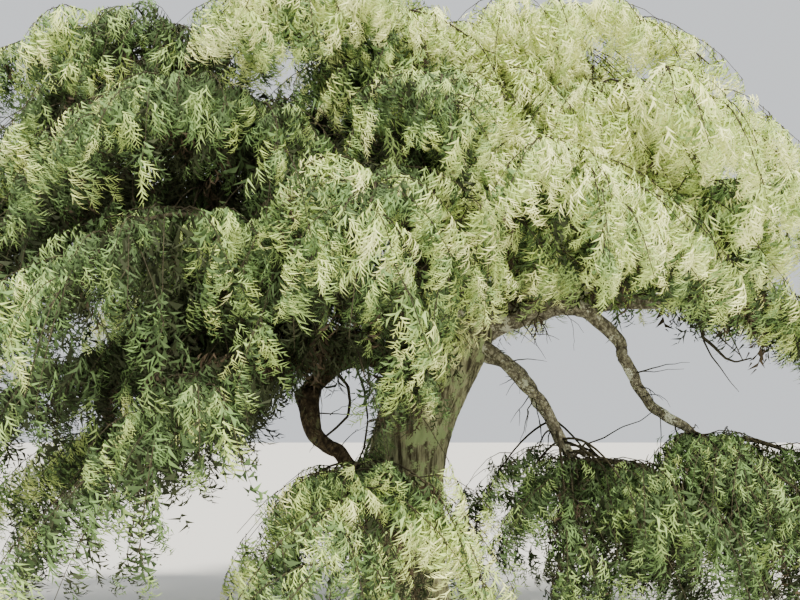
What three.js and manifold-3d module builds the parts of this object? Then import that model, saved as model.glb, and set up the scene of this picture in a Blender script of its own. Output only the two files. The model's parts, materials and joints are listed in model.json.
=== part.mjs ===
// Weeping hemlock, rooted in level ground: a short leaning trunk that forks low, crooked limbs that spread
// from the fork, and at the end of each one a mass of foliage that hangs in drooping sprays.
// Millimetres, +Z up, front towards -Y. The origin is the middle of the flat cut under the trunk.
import * as THREE from "three";
import { mergeVertices } from "three/addons/utils/BufferGeometryUtils.js";
import Module from "manifold-3d";

const wasm = await Module();
wasm.setup();

const UP = new THREE.Vector3(0, 0, 1);
const seatGap = 0.35; // clear space between a limb or stem and what carries it
const skirtClear = 30; // how far the lowest spray stays above the ground
const cellClear = 6; // half the space kept between two masses
const limbClear = 4; // space kept between a spray and a limb that it passes
const mergeWithin = 0.001; // corners closer than this are one corner

const trunkSize = {
  height: 2380, // flat cut to the top of the fork
  lean: 470, // the fork stands this far to the right of the foot
  leanFrom: 1150, // height at which the trunk starts to lean
  leanPower: 1.8, // how late the lean comes
  chest: 268, // radius at breast height
  flare: 205, // added to the radius at the ground
  flareHeight: 230, // height over which the flare dies away
  lobes: 5, // root buttresses
  lobeDepth: 0.17,
  lobeHeight: 420,
  forkSwell: 30, // added to the radius below the fork
  forkAt: 1980,
  forkLength: 330,
  crownLength: 300, // length of the rounded top
  crownTaper: 0.75, // how much of the section the rounding takes away
  sides: 16,
  steps: 11,
};

const limbShape = {
  sides: 6,
  stepLength: 450, // length of one row of faces
  fewestSteps: 3,
  taperPower: 0.85, // below 1 the radius falls faster near the root
  weave: 0.35, // second bend of a limb over its first
};

// How the foliage of each storey grows. Lengths are millimetres, pitch is degrees above level where a stem
// starts, droop is how far it falls by its tip, as a share of its length, and twigs are its side sprays.
const storeys = {
  top: { length: 1450, spread: 980, pitch: 24, droop: 0.66, twigs: 7 },
  upper: { length: 1500, spread: 1020, pitch: 20, droop: 0.82, twigs: 7 },
  middle: { length: 1500, spread: 1050, pitch: 18, droop: 0.86, twigs: 7 },
  inner: { length: 1200, spread: 900, pitch: 18, droop: 0.84, twigs: 6 },
  skirt: { length: 1300, spread: 950, pitch: 14, droop: 0.74, twigs: 7 },
  tuft: { length: 950, spread: 680, pitch: 10, droop: 0.8, twigs: 5 },
};

const stemShape = {
  radius: 30,
  tipShare: 0.7, // radius at the end over that at the root
  sides: 3,
  steps: 3,
  rootSunk: 14, // how far a stem starts inside the end of its limb, before it is cut clear
  reachFrom: 0.3, // shortest share of a stem that is kept
  reachStep: 0.05,
  heartShare: 0.5, // the heart of a mass lies under this share of its stem
  heartDrop: 0.1, // and this far below it, over the stem's length
};

const sprayShape = {
  firstTwig: 0.14, // share of the stem where its side sprays start
  lastTwig: 0.9,
  rootAngle: 76, // degrees between the stem and its first side spray
  tipAngle: 34, // and its last one
  rootPitch: 28, // degrees above level at the first side spray
  tipPitch: -14, // and at the last one
  stray: 16, // degrees that a spray may stand off its place
  unevenness: 0.16, // share by which lengths differ
  droop: 0.76, // how far a spray falls by its tip, as a share of its length
  sides: 3,
  halfWidth: 0.31, // half the width over the length
  ridge: 0.04, // height of the midrib over the length
  sink: 5, // how far a spray's root lies inside its stem
  crestSprays: 2, // sprays that lie along the top of the stem
  crestFirst: 0.1,
  crestLast: 0.78,
  crestLean: 24, // degrees to either side of the stem
  crestLength: 0.62, // their length over that of the side sprays
  tipFall: 46, // degrees that the spray at the very tip falls below the stem's own pitch
  shrink: [1, 0.85, 0.7, 0.55], // lengths tried for a spray before it is left out
  tilts: [0, 12, -12], // degrees of pitch tried at each length
};

// Half of a spray's outline as [share of its half width, share of its length]: a twig, then a toothed blade.
const bareShare = 0.28;
const sprayOutline = [
  [0, 0],
  [0.045, 0],
  [0.04, bareShare],
  [1, 0.5],
  [0.62, 0.64],
  [0.84, 0.8],
  [0, 1],
];

// Limbs: name, the limb that carries it, share of that limb's length where it leaves, then where it ends as
// [turn, reach, height], its bend as [rise, sway], its radius as [root, tip], its foliage as [storey, veer].
// A turn is in degrees about the foot of the trunk, 0 to the right, 90 to the back and 270 to the front, and
// reach is the distance from the upright line there. Rise lifts the middle of a limb, sway takes it sideways,
// and veer turns the stem of the foliage away from the limb's own turn.
const limbs = [
  limb("leader", "trunk", 0.86, [128, 300, 4790], [0, -170], [165, 40], ["top", 66]),
  limb("right_limb", "trunk", 0.93, [358, 2200, 2420], [150, 60], [120, 36], ["inner", 2]),
  limb("left_limb", "trunk", 0.84, [192, 2200, 3180], [330, 110], [140, 38], ["middle", 4]),
  limb("back_right_limb", "trunk", 0.9, [36, 2300, 3000], [260, -120], [120, 36], ["middle", 0]),
  limb("back_limb", "trunk", 0.8, [84, 2250, 2900], [240, 130], [115, 36], ["middle", 0]),
  limb("back_left_limb", "trunk", 0.88, [132, 2300, 3000], [280, -120], [120, 36], ["middle", 0]),
  limb("front_left_limb", "trunk", 0.8, [226, 1650, 2820], [220, 100], [105, 34], ["middle", 4]),
  limb("front_right_limb", "trunk", 0.94, [305, 1200, 3340], [60, -90], [95, 34], ["inner", -4]),
  limb("front_limb", "trunk", 0.9, [264, 980, 3120], [80, 60], [80, 32], ["inner", -2]),
  limb("arch_rise", "trunk", 0.91, [346, 1230, 2440], [60, 40], [78, 46]),
  limb("arch_fall", "arch_rise", 0.97, [352, 2080, 1460], [-110, 30], [46, 35], ["skirt", 6]),
  limb("low_right_limb", "trunk", 0.93, [345, 1210, 1310], [220, -30], [54, 34], ["skirt", -20]),
  limb("crook_top", "trunk", 0.8, [207, 780, 1770], [240, -20], [82, 62]),
  limb("crook_foot", "crook_top", 0.97, [240, 560, 1300], [-165, -90], [62, 42], ["skirt", 24]),
  limb("low_left_limb", "trunk", 0.76, [200, 1800, 2000], [330, 130], [84, 36], ["skirt", 0]),
  limb("low_front_left_limb", "trunk", 0.78, [232, 1300, 1900], [240, 80], [66, 34], ["skirt", 0]),
  limb("low_back_right_limb", "trunk", 0.9, [46, 1910, 1345], [155, -150], [60, 34], ["skirt", 4]),
  limb("low_back_limb", "trunk", 0.7, [96, 1700, 1500], [260, -110], [84, 36], ["skirt", 6]),
  limb("low_back_left_limb", "trunk", 0.8, [160, 1850, 1600], [400, 110], [80, 36], ["skirt", 0]),
  limb("top_right_bough", "leader", 0.8, [346, 850, 4430], [60, 60], [52, 30], ["top", 0]),
  limb("top_front_bough", "leader", 0.72, [246, 700, 4420], [60, 60], [52, 30], ["top", -8]),
  limb("upper_left_bough", "left_limb", 0.38, [186, 1850, 4380], [90, 90], [66, 32], ["upper", 0]),
  limb("upper_front_left_bough", "leader", 0.36, [222, 1500, 3640], [90, 90], [66, 32], ["upper", 4]),
  limb("upper_front_bough", "leader", 0.46, [282, 900, 3760], [60, 50], [60, 32], ["inner", -8]),
  limb("upper_front_right_bough", "leader", 0.28, [325, 1500, 3720], [90, 90], [62, 32], ["upper", -2]),
  limb("upper_right_bough", "right_limb", 0.2, [12, 1900, 3900], [90, 90], [66, 32], ["upper", 0]),
  limb("upper_back_right_bough", "back_right_limb", 0.34, [58, 1850, 3950], [90, 90], [66, 32], ["upper", 0]),
  limb("upper_back_bough", "leader", 0.4, [108, 1750, 4120], [90, 90], [66, 32], ["upper", 0]),
  limb("upper_back_left_bough", "back_left_limb", 0.34, [154, 1900, 4280], [90, 90], [66, 32], ["upper", 0]),
  limb("side_right_bough", "right_limb", 0.42, [338, 2150, 3100], [80, 70], [60, 32], ["middle", 0]),
];

// A tuft that hangs from the front of the trunk itself, at a share of the trunk's height. Its stem starts
// sunk in the trunk, before it is cut clear.
const trunkTuft = { name: "trunk_tuft", at: 0.93, turn: 254, sunk: 56, storey: "tuft" };

const barkLook = new THREE.MeshStandardMaterial({ color: 0x6a5c4c, roughness: 0.95, metalness: 0 });
const foliageLook = new THREE.MeshStandardMaterial({ color: 0x93a35c, roughness: 0.8, metalness: 0 });

const radians = THREE.MathUtils.degToRad;
const mix = THREE.MathUtils.lerp;

function limb(name, from, at, [turn, reach, height], [rise, sway], [root, tip], [storey, veer] = []) {
  return { name, from, at, turn, reach, height, rise, sway, root, tip, storey, veer };
}

// The same run of numbers from 0 to 1 for the same seed.
function dice(seed) {
  let state = (seed * 7919 + 12345) >>> 0;
  return () => {
    state = (Math.imul(state, 1664525) + 1013904223) >>> 0;
    return state / 4294967296;
  };
}

// A level direction at a turn about the trunk.
function levelWay(turn) {
  return new THREE.Vector3(Math.cos(radians(turn)), Math.sin(radians(turn)), 0);
}

// A path is a point for each share of its length, and the level direction square to it.
function makePath(pointAt, side) {
  const nearby = 0.01;
  const wayAt = (share) => {
    const low = Math.max(0, share - nearby);
    const high = Math.min(1, share + nearby);
    return pointAt(high).sub(pointAt(low)).normalize();
  };
  return { pointAt, wayAt, side };
}

// From one point to another, lifted in the middle by rise and carried sideways by sway.
function limbPath(start, end, rise, sway) {
  const along = end.clone().sub(start);
  const side = new THREE.Vector3(-along.y, along.x, 0).normalize();
  const pointAt = (share) => {
    const middle = Math.sin(Math.PI * share);
    const weave = Math.sin(2 * Math.PI * share) * limbShape.weave;
    return start
      .clone()
      .addScaledVector(along, share)
      .addScaledVector(UP, rise * middle)
      .addScaledVector(side, sway * (middle + weave));
  };
  return makePath(pointAt, side);
}

// Out from a point on a heading, at a pitch, and falling away from it as its own weight bends it.
function hangingPath(start, turn, pitch, length, droop) {
  const out = levelWay(turn).multiplyScalar(Math.cos(radians(pitch)));
  const lift = Math.sin(radians(pitch));
  const pointAt = (share) =>
    start
      .clone()
      .addScaledVector(out, length * share)
      .addScaledVector(UP, length * (lift * share - droop * share * share));
  return makePath(pointAt, levelWay(turn + 90));
}

// Carries a closed shape that stands along its own Y axis on to a path, where its Y is the share of the path.
function carryAlong(geometry, path, place) {
  const position = geometry.attributes.position;
  for (let i = 0; i < position.count; i++) {
    const share = position.getY(i);
    const over = new THREE.Vector3().crossVectors(path.wayAt(share), path.side).normalize();
    const [across, above] = place(position.getX(i), position.getZ(i), share);
    const point = path.pointAt(share).addScaledVector(path.side, -across).addScaledVector(over, above);
    position.setXYZ(i, point.x, point.y, point.z);
  }
  return geometry;
}

// A round tapering body along a path, as far as the share of the path that reach gives.
function tube(path, radiusAt, sides, steps, reach = 1) {
  const geometry = new THREE.CylinderGeometry(1, 1, reach, sides, steps).translate(0, reach / 2, 0);
  return carryAlong(geometry, path, (x, z, share) => {
    const radius = radiusAt(share, Math.atan2(z, x));
    return [x * radius, z * radius];
  });
}

// A geometry as a solid, with its shared corners merged and the faces that have no area dropped.
function solidOf(geometry) {
  const bare = geometry.clone();
  bare.deleteAttribute("normal");
  bare.deleteAttribute("uv");
  const merged = mergeVertices(bare, mergeWithin);
  const corners = merged.index.array;
  const kept = [];
  for (let i = 0; i < corners.length; i += 3) {
    const [a, b, c] = [corners[i], corners[i + 1], corners[i + 2]];
    if (a !== b && b !== c && c !== a) kept.push(a, b, c);
  }
  return new wasm.Manifold(
    new wasm.Mesh({
      numProp: 3,
      vertProperties: merged.attributes.position.array,
      triVerts: new Uint32Array(kept),
    }),
  );
}

// The largest piece of a solid, so that a cut leaves no scrap behind.
function largestOf(solid) {
  return solid.decompose().reduce((best, piece) => (piece.volume() > best.volume() ? piece : best));
}

function meshOf(name, solid, look) {
  const made = solid.getMesh();
  const geometry = new THREE.BufferGeometry();
  geometry.setAttribute("position", new THREE.BufferAttribute(made.vertProperties, 3));
  geometry.setIndex(new THREE.BufferAttribute(made.triVerts, 1));
  geometry.computeVertexNormals();
  const mesh = new THREE.Mesh(geometry, look);
  mesh.name = name;
  return mesh;
}

// The trunk's centre line: upright at the foot, then leaning more and more towards the fork.
const trunkPath = makePath((share) => {
  const height = trunkSize.height * share;
  const leaning = Math.max(0, (height - trunkSize.leanFrom) / (trunkSize.height - trunkSize.leanFrom));
  return new THREE.Vector3(trunkSize.lean * leaning ** trunkSize.leanPower, 0, height);
}, new THREE.Vector3(0, 1, 0));

function trunkRadius(share, angle) {
  const size = trunkSize;
  const height = size.height * share;
  const flare = size.flare * Math.exp(-height / size.flareHeight);
  const swell = size.forkSwell * Math.exp(-(((height - size.forkAt) / size.forkLength) ** 2));
  const lobes = 1 + size.lobeDepth * Math.cos(size.lobes * angle) * Math.exp(-height / size.lobeHeight);
  const rounding = Math.max(0, (height - size.height + size.crownLength) / size.crownLength);
  return (size.chest + flare + swell) * lobes * Math.sqrt(1 - size.crownTaper * rounding * rounding);
}

// The trunk, or the same grown outwards and upwards by extra.
function makeTrunk(extra) {
  const lift = extra / trunkSize.height;
  const radiusAt = (share, angle) => trunkRadius(Math.max(0, share - lift), angle) + extra;
  return solidOf(tube(trunkPath, radiusAt, trunkSize.sides, trunkSize.steps, 1 + lift));
}

// A limb, or the same grown outwards and past its end by extra.
function makeLimb(mine, extra) {
  const length = mine.path.pointAt(1).distanceTo(mine.path.pointAt(0));
  const taper = (share) => THREE.MathUtils.clamp(share, 0, 1) ** limbShape.taperPower;
  const radiusAt = (share) => mix(mine.root, mine.tip, taper(share)) + extra;
  const steps = Math.max(limbShape.fewestSteps, Math.round(length / limbShape.stepLength));
  return solidOf(tube(mine.path, radiusAt, limbShape.sides, steps, 1 + extra / length));
}

// A three-sided spray along a path: its ridge above, its toothed edges to the sides.
function makeSpray(path, length) {
  const profile = sprayOutline.map(([wide, along]) => new THREE.Vector2(wide, along));
  const half = length * sprayShape.halfWidth;
  const ridge = length * sprayShape.ridge;
  return solidOf(
    carryAlong(new THREE.LatheGeometry(profile, sprayShape.sides), path, (x, z, share) => [
      x * half,
      z * (share > bareShare ? ridge : half),
    ]),
  );
}

// Planes halfway between the heart of a mass and those of the others fence off the space that it keeps to.
function insideCell(point, mine, all) {
  if (point.z < skirtClear) return false;
  return all.every((other) => {
    if (other === mine) return true;
    const between = other.heart.clone().sub(mine.heart);
    const distance = between.length();
    return point.clone().sub(mine.heart).dot(between) / distance < distance / 2 - cellClear;
  });
}

function cornersOf(solid) {
  const { vertProperties, numProp } = solid.getMesh();
  const corners = [];
  for (let i = 0; i < vertProperties.length; i += numProp)
    corners.push(new THREE.Vector3(vertProperties[i], vertProperties[i + 1], vertProperties[i + 2]));
  return corners;
}

function boxesMeet(a, b) {
  return [0, 1, 2].every((k) => a.min[k] < b.max[k] && b.min[k] < a.max[k]);
}

function touches(piece, woods) {
  const box = piece.boundingBox();
  return woods.some((wood) => boxesMeet(wood.box, box) && !piece.intersect(wood.solid).isEmpty());
}

// The stem of a mass, as long as it stays in its own space and clear of every limb that it passes.
function makeStem(mine, all, passed) {
  const { grow } = mine;
  const radiusAt = (share) => stemShape.radius * mix(1, stemShape.tipShare, share);
  for (let reach = 1; ; reach -= stemShape.reachStep) {
    const path = hangingPath(mine.start, mine.turn, grow.pitch, grow.length * reach, grow.droop * reach);
    const solid = solidOf(tube(path, radiusAt, stemShape.sides, stemShape.steps));
    const free = insideCell(path.pointAt(1), mine, all) && !touches(solid, passed);
    if (free || reach < stemShape.reachFrom) return { path, solid };
  }
}

// A spray from a point, at the first of its lengths and tilts that keeps to the space of its mass and touches
// nothing there but its stem.
function trySpray(mine, all, obstacles, point, turn, pitch, length) {
  for (const shrink of sprayShape.shrink) {
    for (const tilt of sprayShape.tilts) {
      const long = length * shrink;
      const way = hangingPath(point, turn, pitch + tilt, long, sprayShape.droop).wayAt(0);
      const root = point.clone().addScaledVector(way, -sprayShape.sink);
      const solid = makeSpray(hangingPath(root, turn, pitch + tilt, long, sprayShape.droop), long);
      const inside = cornersOf(solid).every((corner) => insideCell(corner, mine, all));
      if (inside && !touches(solid, obstacles)) return { solid, box: solid.boundingBox() };
    }
  }
  return null;
}

// A mass grows from one stem: sprays left and right by turns, sprays along its crest and one at the tip. What
// would leave the mass's space or touch a limb is left out.
function makeMass(mine, all, woods, seat, seed) {
  const roll = dice(seed);
  const { grow } = mine;
  const shape = sprayShape;
  const crestLength = grow.spread * shape.crestLength;
  const passed = woods.filter((wood) => wood.name !== mine.carrier);
  const stem = makeStem(mine, all, passed);
  const sprays = [];
  const add = (share, turn, pitch, length) => {
    const spray = trySpray(mine, all, [...woods, ...sprays], stem.path.pointAt(share), turn, pitch, length);
    if (spray) sprays.push(spray);
  };
  for (let i = 0; i < grow.twigs; i++) {
    const along = i / (grow.twigs - 1);
    const hand = i % 2 ? 1 : -1;
    const angle = mix(shape.rootAngle, shape.tipAngle, along) + shape.stray * (roll() - 0.5);
    const pitch = mix(shape.rootPitch, shape.tipPitch, along) + shape.stray * (roll() - 0.5);
    const length = grow.spread * (1 - shape.unevenness * roll());
    add(mix(shape.firstTwig, shape.lastTwig, along), mine.turn + hand * angle, pitch, length);
  }
  for (let i = 0; i < shape.crestSprays; i++) {
    const along = i / (shape.crestSprays - 1);
    const lean = shape.crestLean * (i % 2 ? 1 : -1);
    const pitch = grow.pitch * (1 - along) + shape.stray * roll();
    add(mix(shape.crestFirst, shape.crestLast, along), mine.turn + lean, pitch, crestLength);
  }
  add(1, mine.turn, grow.pitch - shape.tipFall, crestLength);
  const whole = wasm.Manifold.union([stem.solid, ...sprays.map((spray) => spray.solid)]);
  return largestOf(whole.subtract(seat));
}

// What a mass needs to know before any of them grows: where its stem starts and the heart of its space.
function planMass(name, carrier, start, turn, grow) {
  const stem = hangingPath(start, turn, grow.pitch, grow.length, grow.droop);
  const heart = stem.pointAt(stemShape.heartShare).addScaledVector(UP, -stemShape.heartDrop * grow.length);
  return { name: `foliage_${name}`, carrier, start, turn, grow, heart };
}

// Paths first, because each limb starts on that of its carrier.
const paths = new Map([["trunk", trunkPath]]);
for (const mine of limbs) {
  const start = paths.get(mine.from).pointAt(mine.at);
  const end = levelWay(mine.turn).multiplyScalar(mine.reach).setZ(mine.height);
  mine.path = limbPath(start, end, mine.rise, mine.sway);
  paths.set(mine.name, mine.path);
}

const hemlock = new THREE.Group();
hemlock.add(meshOf("trunk", makeTrunk(0), barkLook));

// Each limb is cut clear of the trunk and of every limb made before it.
const seats = new Map([["trunk", makeTrunk(seatGap)]]);
for (const mine of limbs) {
  const whole = makeLimb(mine, 0);
  const box = whole.boundingBox();
  const cut = [...seats.values()]
    .filter((seat) => boxesMeet(seat.boundingBox(), box))
    .reduce((left, seat) => left.subtract(seat), whole);
  hemlock.add(meshOf(mine.name, largestOf(cut), barkLook));
  seats.set(mine.name, makeLimb(mine, seatGap));
}

const masses = limbs
  .filter((mine) => mine.storey)
  .map((mine) => {
    const start = mine.path.pointAt(1).addScaledVector(mine.path.wayAt(1), -stemShape.rootSunk);
    const name = mine.name.replace(/_(limb|bough)$/, "");
    return planMass(name, mine.name, start, mine.turn + mine.veer, storeys[mine.storey]);
  });
const tuftStart = trunkPath
  .pointAt(trunkTuft.at)
  .addScaledVector(levelWay(trunkTuft.turn), trunkSize.chest - trunkTuft.sunk);
masses.push(planMass(trunkTuft.name, "trunk", tuftStart, trunkTuft.turn, storeys[trunkTuft.storey]));

const woods = [
  { name: "trunk", solid: makeTrunk(limbClear) },
  ...limbs.map((mine) => ({ name: mine.name, solid: makeLimb(mine, limbClear) })),
].map((wood) => ({ ...wood, box: wood.solid.boundingBox() }));
masses.forEach((mine, i) => {
  const solid = makeMass(mine, masses, woods, seats.get(mine.carrier), i + 1);
  hemlock.add(meshOf(mine.name, solid, foliageLook));
});

export default hemlock;
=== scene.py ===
import json
import math

import bpy
import numpy as np
from mathutils import Matrix, Vector, noise

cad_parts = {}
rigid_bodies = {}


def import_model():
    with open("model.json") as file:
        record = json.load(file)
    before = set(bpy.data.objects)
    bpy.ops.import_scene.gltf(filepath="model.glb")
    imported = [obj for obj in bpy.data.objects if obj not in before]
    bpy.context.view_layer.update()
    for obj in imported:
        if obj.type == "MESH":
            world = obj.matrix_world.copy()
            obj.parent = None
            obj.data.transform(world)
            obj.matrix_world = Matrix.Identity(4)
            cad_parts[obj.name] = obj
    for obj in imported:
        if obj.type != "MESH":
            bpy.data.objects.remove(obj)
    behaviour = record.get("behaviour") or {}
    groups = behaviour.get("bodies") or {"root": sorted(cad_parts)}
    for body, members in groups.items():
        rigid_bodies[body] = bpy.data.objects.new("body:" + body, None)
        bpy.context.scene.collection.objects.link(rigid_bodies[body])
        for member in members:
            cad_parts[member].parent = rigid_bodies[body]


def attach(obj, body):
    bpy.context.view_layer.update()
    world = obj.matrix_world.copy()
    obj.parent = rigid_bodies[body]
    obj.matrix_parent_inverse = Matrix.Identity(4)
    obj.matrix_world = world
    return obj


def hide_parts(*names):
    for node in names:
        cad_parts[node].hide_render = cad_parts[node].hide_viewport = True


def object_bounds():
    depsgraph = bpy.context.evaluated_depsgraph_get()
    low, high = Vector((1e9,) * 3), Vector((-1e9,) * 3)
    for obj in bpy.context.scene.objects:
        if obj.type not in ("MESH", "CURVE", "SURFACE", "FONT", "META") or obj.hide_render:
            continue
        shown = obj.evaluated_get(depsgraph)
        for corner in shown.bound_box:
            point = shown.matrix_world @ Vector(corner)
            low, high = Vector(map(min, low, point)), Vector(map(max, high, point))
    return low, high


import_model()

# Weeping hemlock: fluted trunk, crooked limbs, and masses of hanging sprays that grow by the rule of the
# part's source, carried on to finer twigs. The tables of limbs and storeys are in millimetres and degrees,
# as they are there, and everything else is in metres.
cadLow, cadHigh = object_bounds()
boxMargin = 0.03  # the tree keeps so far inside the box of the solids
boxLow, boxHigh = np.array(cadLow) + boxMargin, np.array(cadHigh) - boxMargin
scene = bpy.context.scene
mm = 0.001
tiny = 1e-9
up = np.array([0.0, 0.0, 1.0])
seeds = {"branchlets": 500, "sprays": 71, "thinning": 23, "tones": 9, "picks": 3, "twigs": 44}
seeds.update(variant=13, firstVariant=5)


# A table whose rows have named values.
def named(keys, rows):
    return {name: dict(zip(keys.split(), row)) for name, row in rows.items()}


# Camera, floor and light.
view = {
    "place": (-0.035, -9.0, 1.55),  # nine metres in front of the trunk, at eye height
    "lens": 56.7,
    "sensor": 36.0,
    "tilt": 5.9,  # degrees above level
    "width": 800,  # the photograph
    "height": 600,
    "nearest": 0.1,
}
viewPlace, focal = np.array(view["place"]), view["lens"] / view["sensor"] * view["width"]
tiltCos, tiltSin = math.cos(math.radians(view["tilt"])), math.sin(math.radians(view["tilt"]))
middleX, middleY = view["width"] / 2, view["height"] / 2


def addObject(name, data):
    made = bpy.data.objects.new(name, data)
    scene.collection.objects.link(made)
    return made


def makeCamera():
    data = bpy.data.cameras.new("photoCamera")
    data.lens = view["lens"]
    data.sensor_width = view["sensor"]
    camera = addObject("photoCamera", data)
    camera.location = view["place"]
    camera.rotation_euler = (math.radians(90 + view["tilt"]), 0, 0)
    scene.camera = camera


# Where points fall in the photograph, in its pixels.
def pixelsOf(points):
    away = points - viewPlace
    depth = np.maximum(away[:, 1] * tiltCos + away[:, 2] * tiltSin, view["nearest"])
    rise = away[:, 2] * tiltCos - away[:, 1] * tiltSin
    return middleX + focal * away[:, 0] / depth, middleY - focal * rise / depth


# The point at this distance in front of the trunk that falls on a pixel of the photograph.
def placeOf(px, py, ahead):
    across, rise = (px - middleX) / focal, (middleY - py) / focal
    way = np.array([across, tiltCos - rise * tiltSin, tiltSin + rise * tiltCos])
    return viewPlace + way * (-ahead - view["place"][1]) / way[1]


studio = {
    "floorHalf": 150.0,
    "floorColor": (205, 203, 198),
    "floorRoughness": 0.9,
    "skyColor": (236, 240, 244),
    "skyStrength": 1.05,
    "sunTurn": (38, 12, 0),  # degrees: light from above, a little from the front and the right
    "sunColor": (255, 250, 238),
    "sunStrength": 9.5,
    "sunWidth": 12,  # degrees across, for soft edges
}


# A colour of the screen, 0 to 255, as Blender's linear colour.
def colorOf(screen):
    parts = [c / 255 for c in screen]
    return tuple(c / 12.92 if c <= 0.04045 else ((c + 0.055) / 1.055) ** 2.4 for c in parts) + (1.0,)


def makeStudio():
    floor = bpy.data.meshes.new("floor")
    half = studio["floorHalf"]
    corners = [(-half, -half, 0), (half, -half, 0), (half, half, 0), (-half, half, 0)]
    floor.from_pydata(corners, [], [(0, 1, 2, 3)])
    paint = bpy.data.materials.new("paleFloor")
    paint.use_nodes = True
    shader = paint.node_tree.nodes["Principled BSDF"]
    shader.inputs["Base Color"].default_value = colorOf(studio["floorColor"])
    shader.inputs["Roughness"].default_value = studio["floorRoughness"]
    floor.materials.append(paint)
    addObject("floor", floor)

    world = bpy.data.worlds.new("paleSky")
    scene.world = world
    world.use_nodes = True
    sky = world.node_tree.nodes["Background"]
    sky.inputs["Color"].default_value = colorOf(studio["skyColor"])
    sky.inputs["Strength"].default_value = studio["skyStrength"]

    sun = bpy.data.lights.new("softSun", "SUN")
    sun.energy = studio["sunStrength"]
    sun.angle = math.radians(studio["sunWidth"])
    sun.color = colorOf(studio["sunColor"])[:3]
    addObject("softSun", sun).rotation_euler = [math.radians(turn) for turn in studio["sunTurn"]]


makeCamera()
makeStudio()
print("camera, floor and light")

# Paths of the trunk and limbs, by the rule of the source.
trunk = {
    "height": 2380,
    "lean": 470,
    "leanFrom": 1150,
    "leanPower": 1.8,
    "chest": 268,
    "flare": 205,
    "flareHeight": 230,
    "lobes": 5,
    "lobeDepth": 0.17,
    "lobeHeight": 420,
    "forkSwell": 30,
    "forkAt": 1980,
    "forkLength": 330,
    "crownLength": 300,
    "crownTaper": 0.75,
}

# Carrier, share of it, end as turn, reach and height, bend as rise and sway, radii at root and tip, the
# storey of its foliage, and how far that veers from the limb.
limbs = named("carrier at end bend radii storey veer", {
    "leader": ("trunk", 0.86, (128, 300, 4790), (0, -170), (165, 40), "top", 66),
    "right_limb": ("trunk", 0.93, (358, 2200, 2420), (150, 60), (120, 36), "inner", 2),
    "left_limb": ("trunk", 0.84, (192, 2200, 3180), (330, 110), (140, 38), "middle", 4),
    "back_right_limb": ("trunk", 0.9, (36, 2300, 3000), (260, -120), (120, 36), "middle", 0),
    "back_limb": ("trunk", 0.8, (84, 2250, 2900), (240, 130), (115, 36), "middle", 0),
    "back_left_limb": ("trunk", 0.88, (132, 2300, 3000), (280, -120), (120, 36), "middle", 0),
    "front_left_limb": ("trunk", 0.8, (226, 1650, 2820), (220, 100), (105, 34), "middle", 4),
    "front_right_limb": ("trunk", 0.94, (305, 1200, 3340), (60, -90), (95, 34), "inner", -4),
    "front_limb": ("trunk", 0.9, (264, 980, 3120), (80, 60), (80, 32), "inner", -2),
    "arch_rise": ("trunk", 0.91, (346, 1230, 2440), (60, 40), (78, 46), None, 0),
    "arch_fall": ("arch_rise", 0.97, (352, 2080, 1460), (-110, 30), (46, 35), "skirt", 6),
    "low_right_limb": ("trunk", 0.93, (345, 1210, 1310), (220, -30), (54, 34), "skirt", -20),
    "crook_top": ("trunk", 0.8, (207, 780, 1770), (240, -20), (82, 62), None, 0),
    "crook_foot": ("crook_top", 0.97, (240, 560, 1300), (-165, -90), (62, 42), "skirt", 24),
    "low_left_limb": ("trunk", 0.76, (200, 1800, 2000), (330, 130), (84, 36), "skirt", 0),
    "low_front_left_limb": ("trunk", 0.78, (232, 1300, 1900), (240, 80), (66, 34), "skirt", 0),
    "low_back_right_limb": ("trunk", 0.9, (46, 1910, 1345), (155, -150), (60, 34), "skirt", 4),
    "low_back_limb": ("trunk", 0.7, (96, 1700, 1500), (260, -110), (84, 36), "skirt", 6),
    "low_back_left_limb": ("trunk", 0.8, (160, 1850, 1600), (400, 110), (80, 36), "skirt", 0),
    "top_right_bough": ("leader", 0.8, (346, 850, 4430), (60, 60), (52, 30), "top", 0),
    "top_front_bough": ("leader", 0.72, (246, 700, 4420), (60, 60), (52, 30), "top", -8),
    "upper_left_bough": ("left_limb", 0.38, (186, 1850, 4380), (90, 90), (66, 32), "upper", 0),
    "upper_front_left_bough": ("leader", 0.36, (222, 1500, 3640), (90, 90), (66, 32), "upper", 4),
    "upper_front_bough": ("leader", 0.46, (282, 900, 3760), (60, 50), (60, 32), "inner", -8),
    "upper_front_right_bough": ("leader", 0.28, (325, 1500, 3720), (90, 90), (62, 32), "upper", -2),
    "upper_right_bough": ("right_limb", 0.2, (12, 1900, 3900), (90, 90), (66, 32), "upper", 0),
    "upper_back_right_bough": ("back_right_limb", 0.34, (58, 1850, 3950), (90, 90), (66, 32), "upper", 0),
    "upper_back_bough": ("leader", 0.4, (108, 1750, 4120), (90, 90), (66, 32), "upper", 0),
    "upper_back_left_bough": ("back_left_limb", 0.34, (154, 1900, 4280), (90, 90), (66, 32), "upper", 0),
    "side_right_bough": ("right_limb", 0.42, (338, 2150, 3100), (80, 70), (60, 32), "middle", 0),
})

limbShape = {"taperPower": 0.85, "weave": 0.35}


def levelWay(turn):
    angle = np.radians(turn)
    return np.stack([np.cos(angle), np.sin(angle), np.zeros_like(angle)], -1)


def unit(vectors):
    return vectors / np.maximum(np.linalg.norm(vectors, axis=-1, keepdims=True), tiny)


def mix(low, high, share):
    return low + (high - low) * share


def trunkPath(share):
    height = trunk["height"] * np.asarray(share, float)
    leaning = np.maximum(0, (height - trunk["leanFrom"]) / (trunk["height"] - trunk["leanFrom"]))
    across = trunk["lean"] * leaning ** trunk["leanPower"]
    return np.stack([across, np.zeros_like(across), height], -1) * mm


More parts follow.
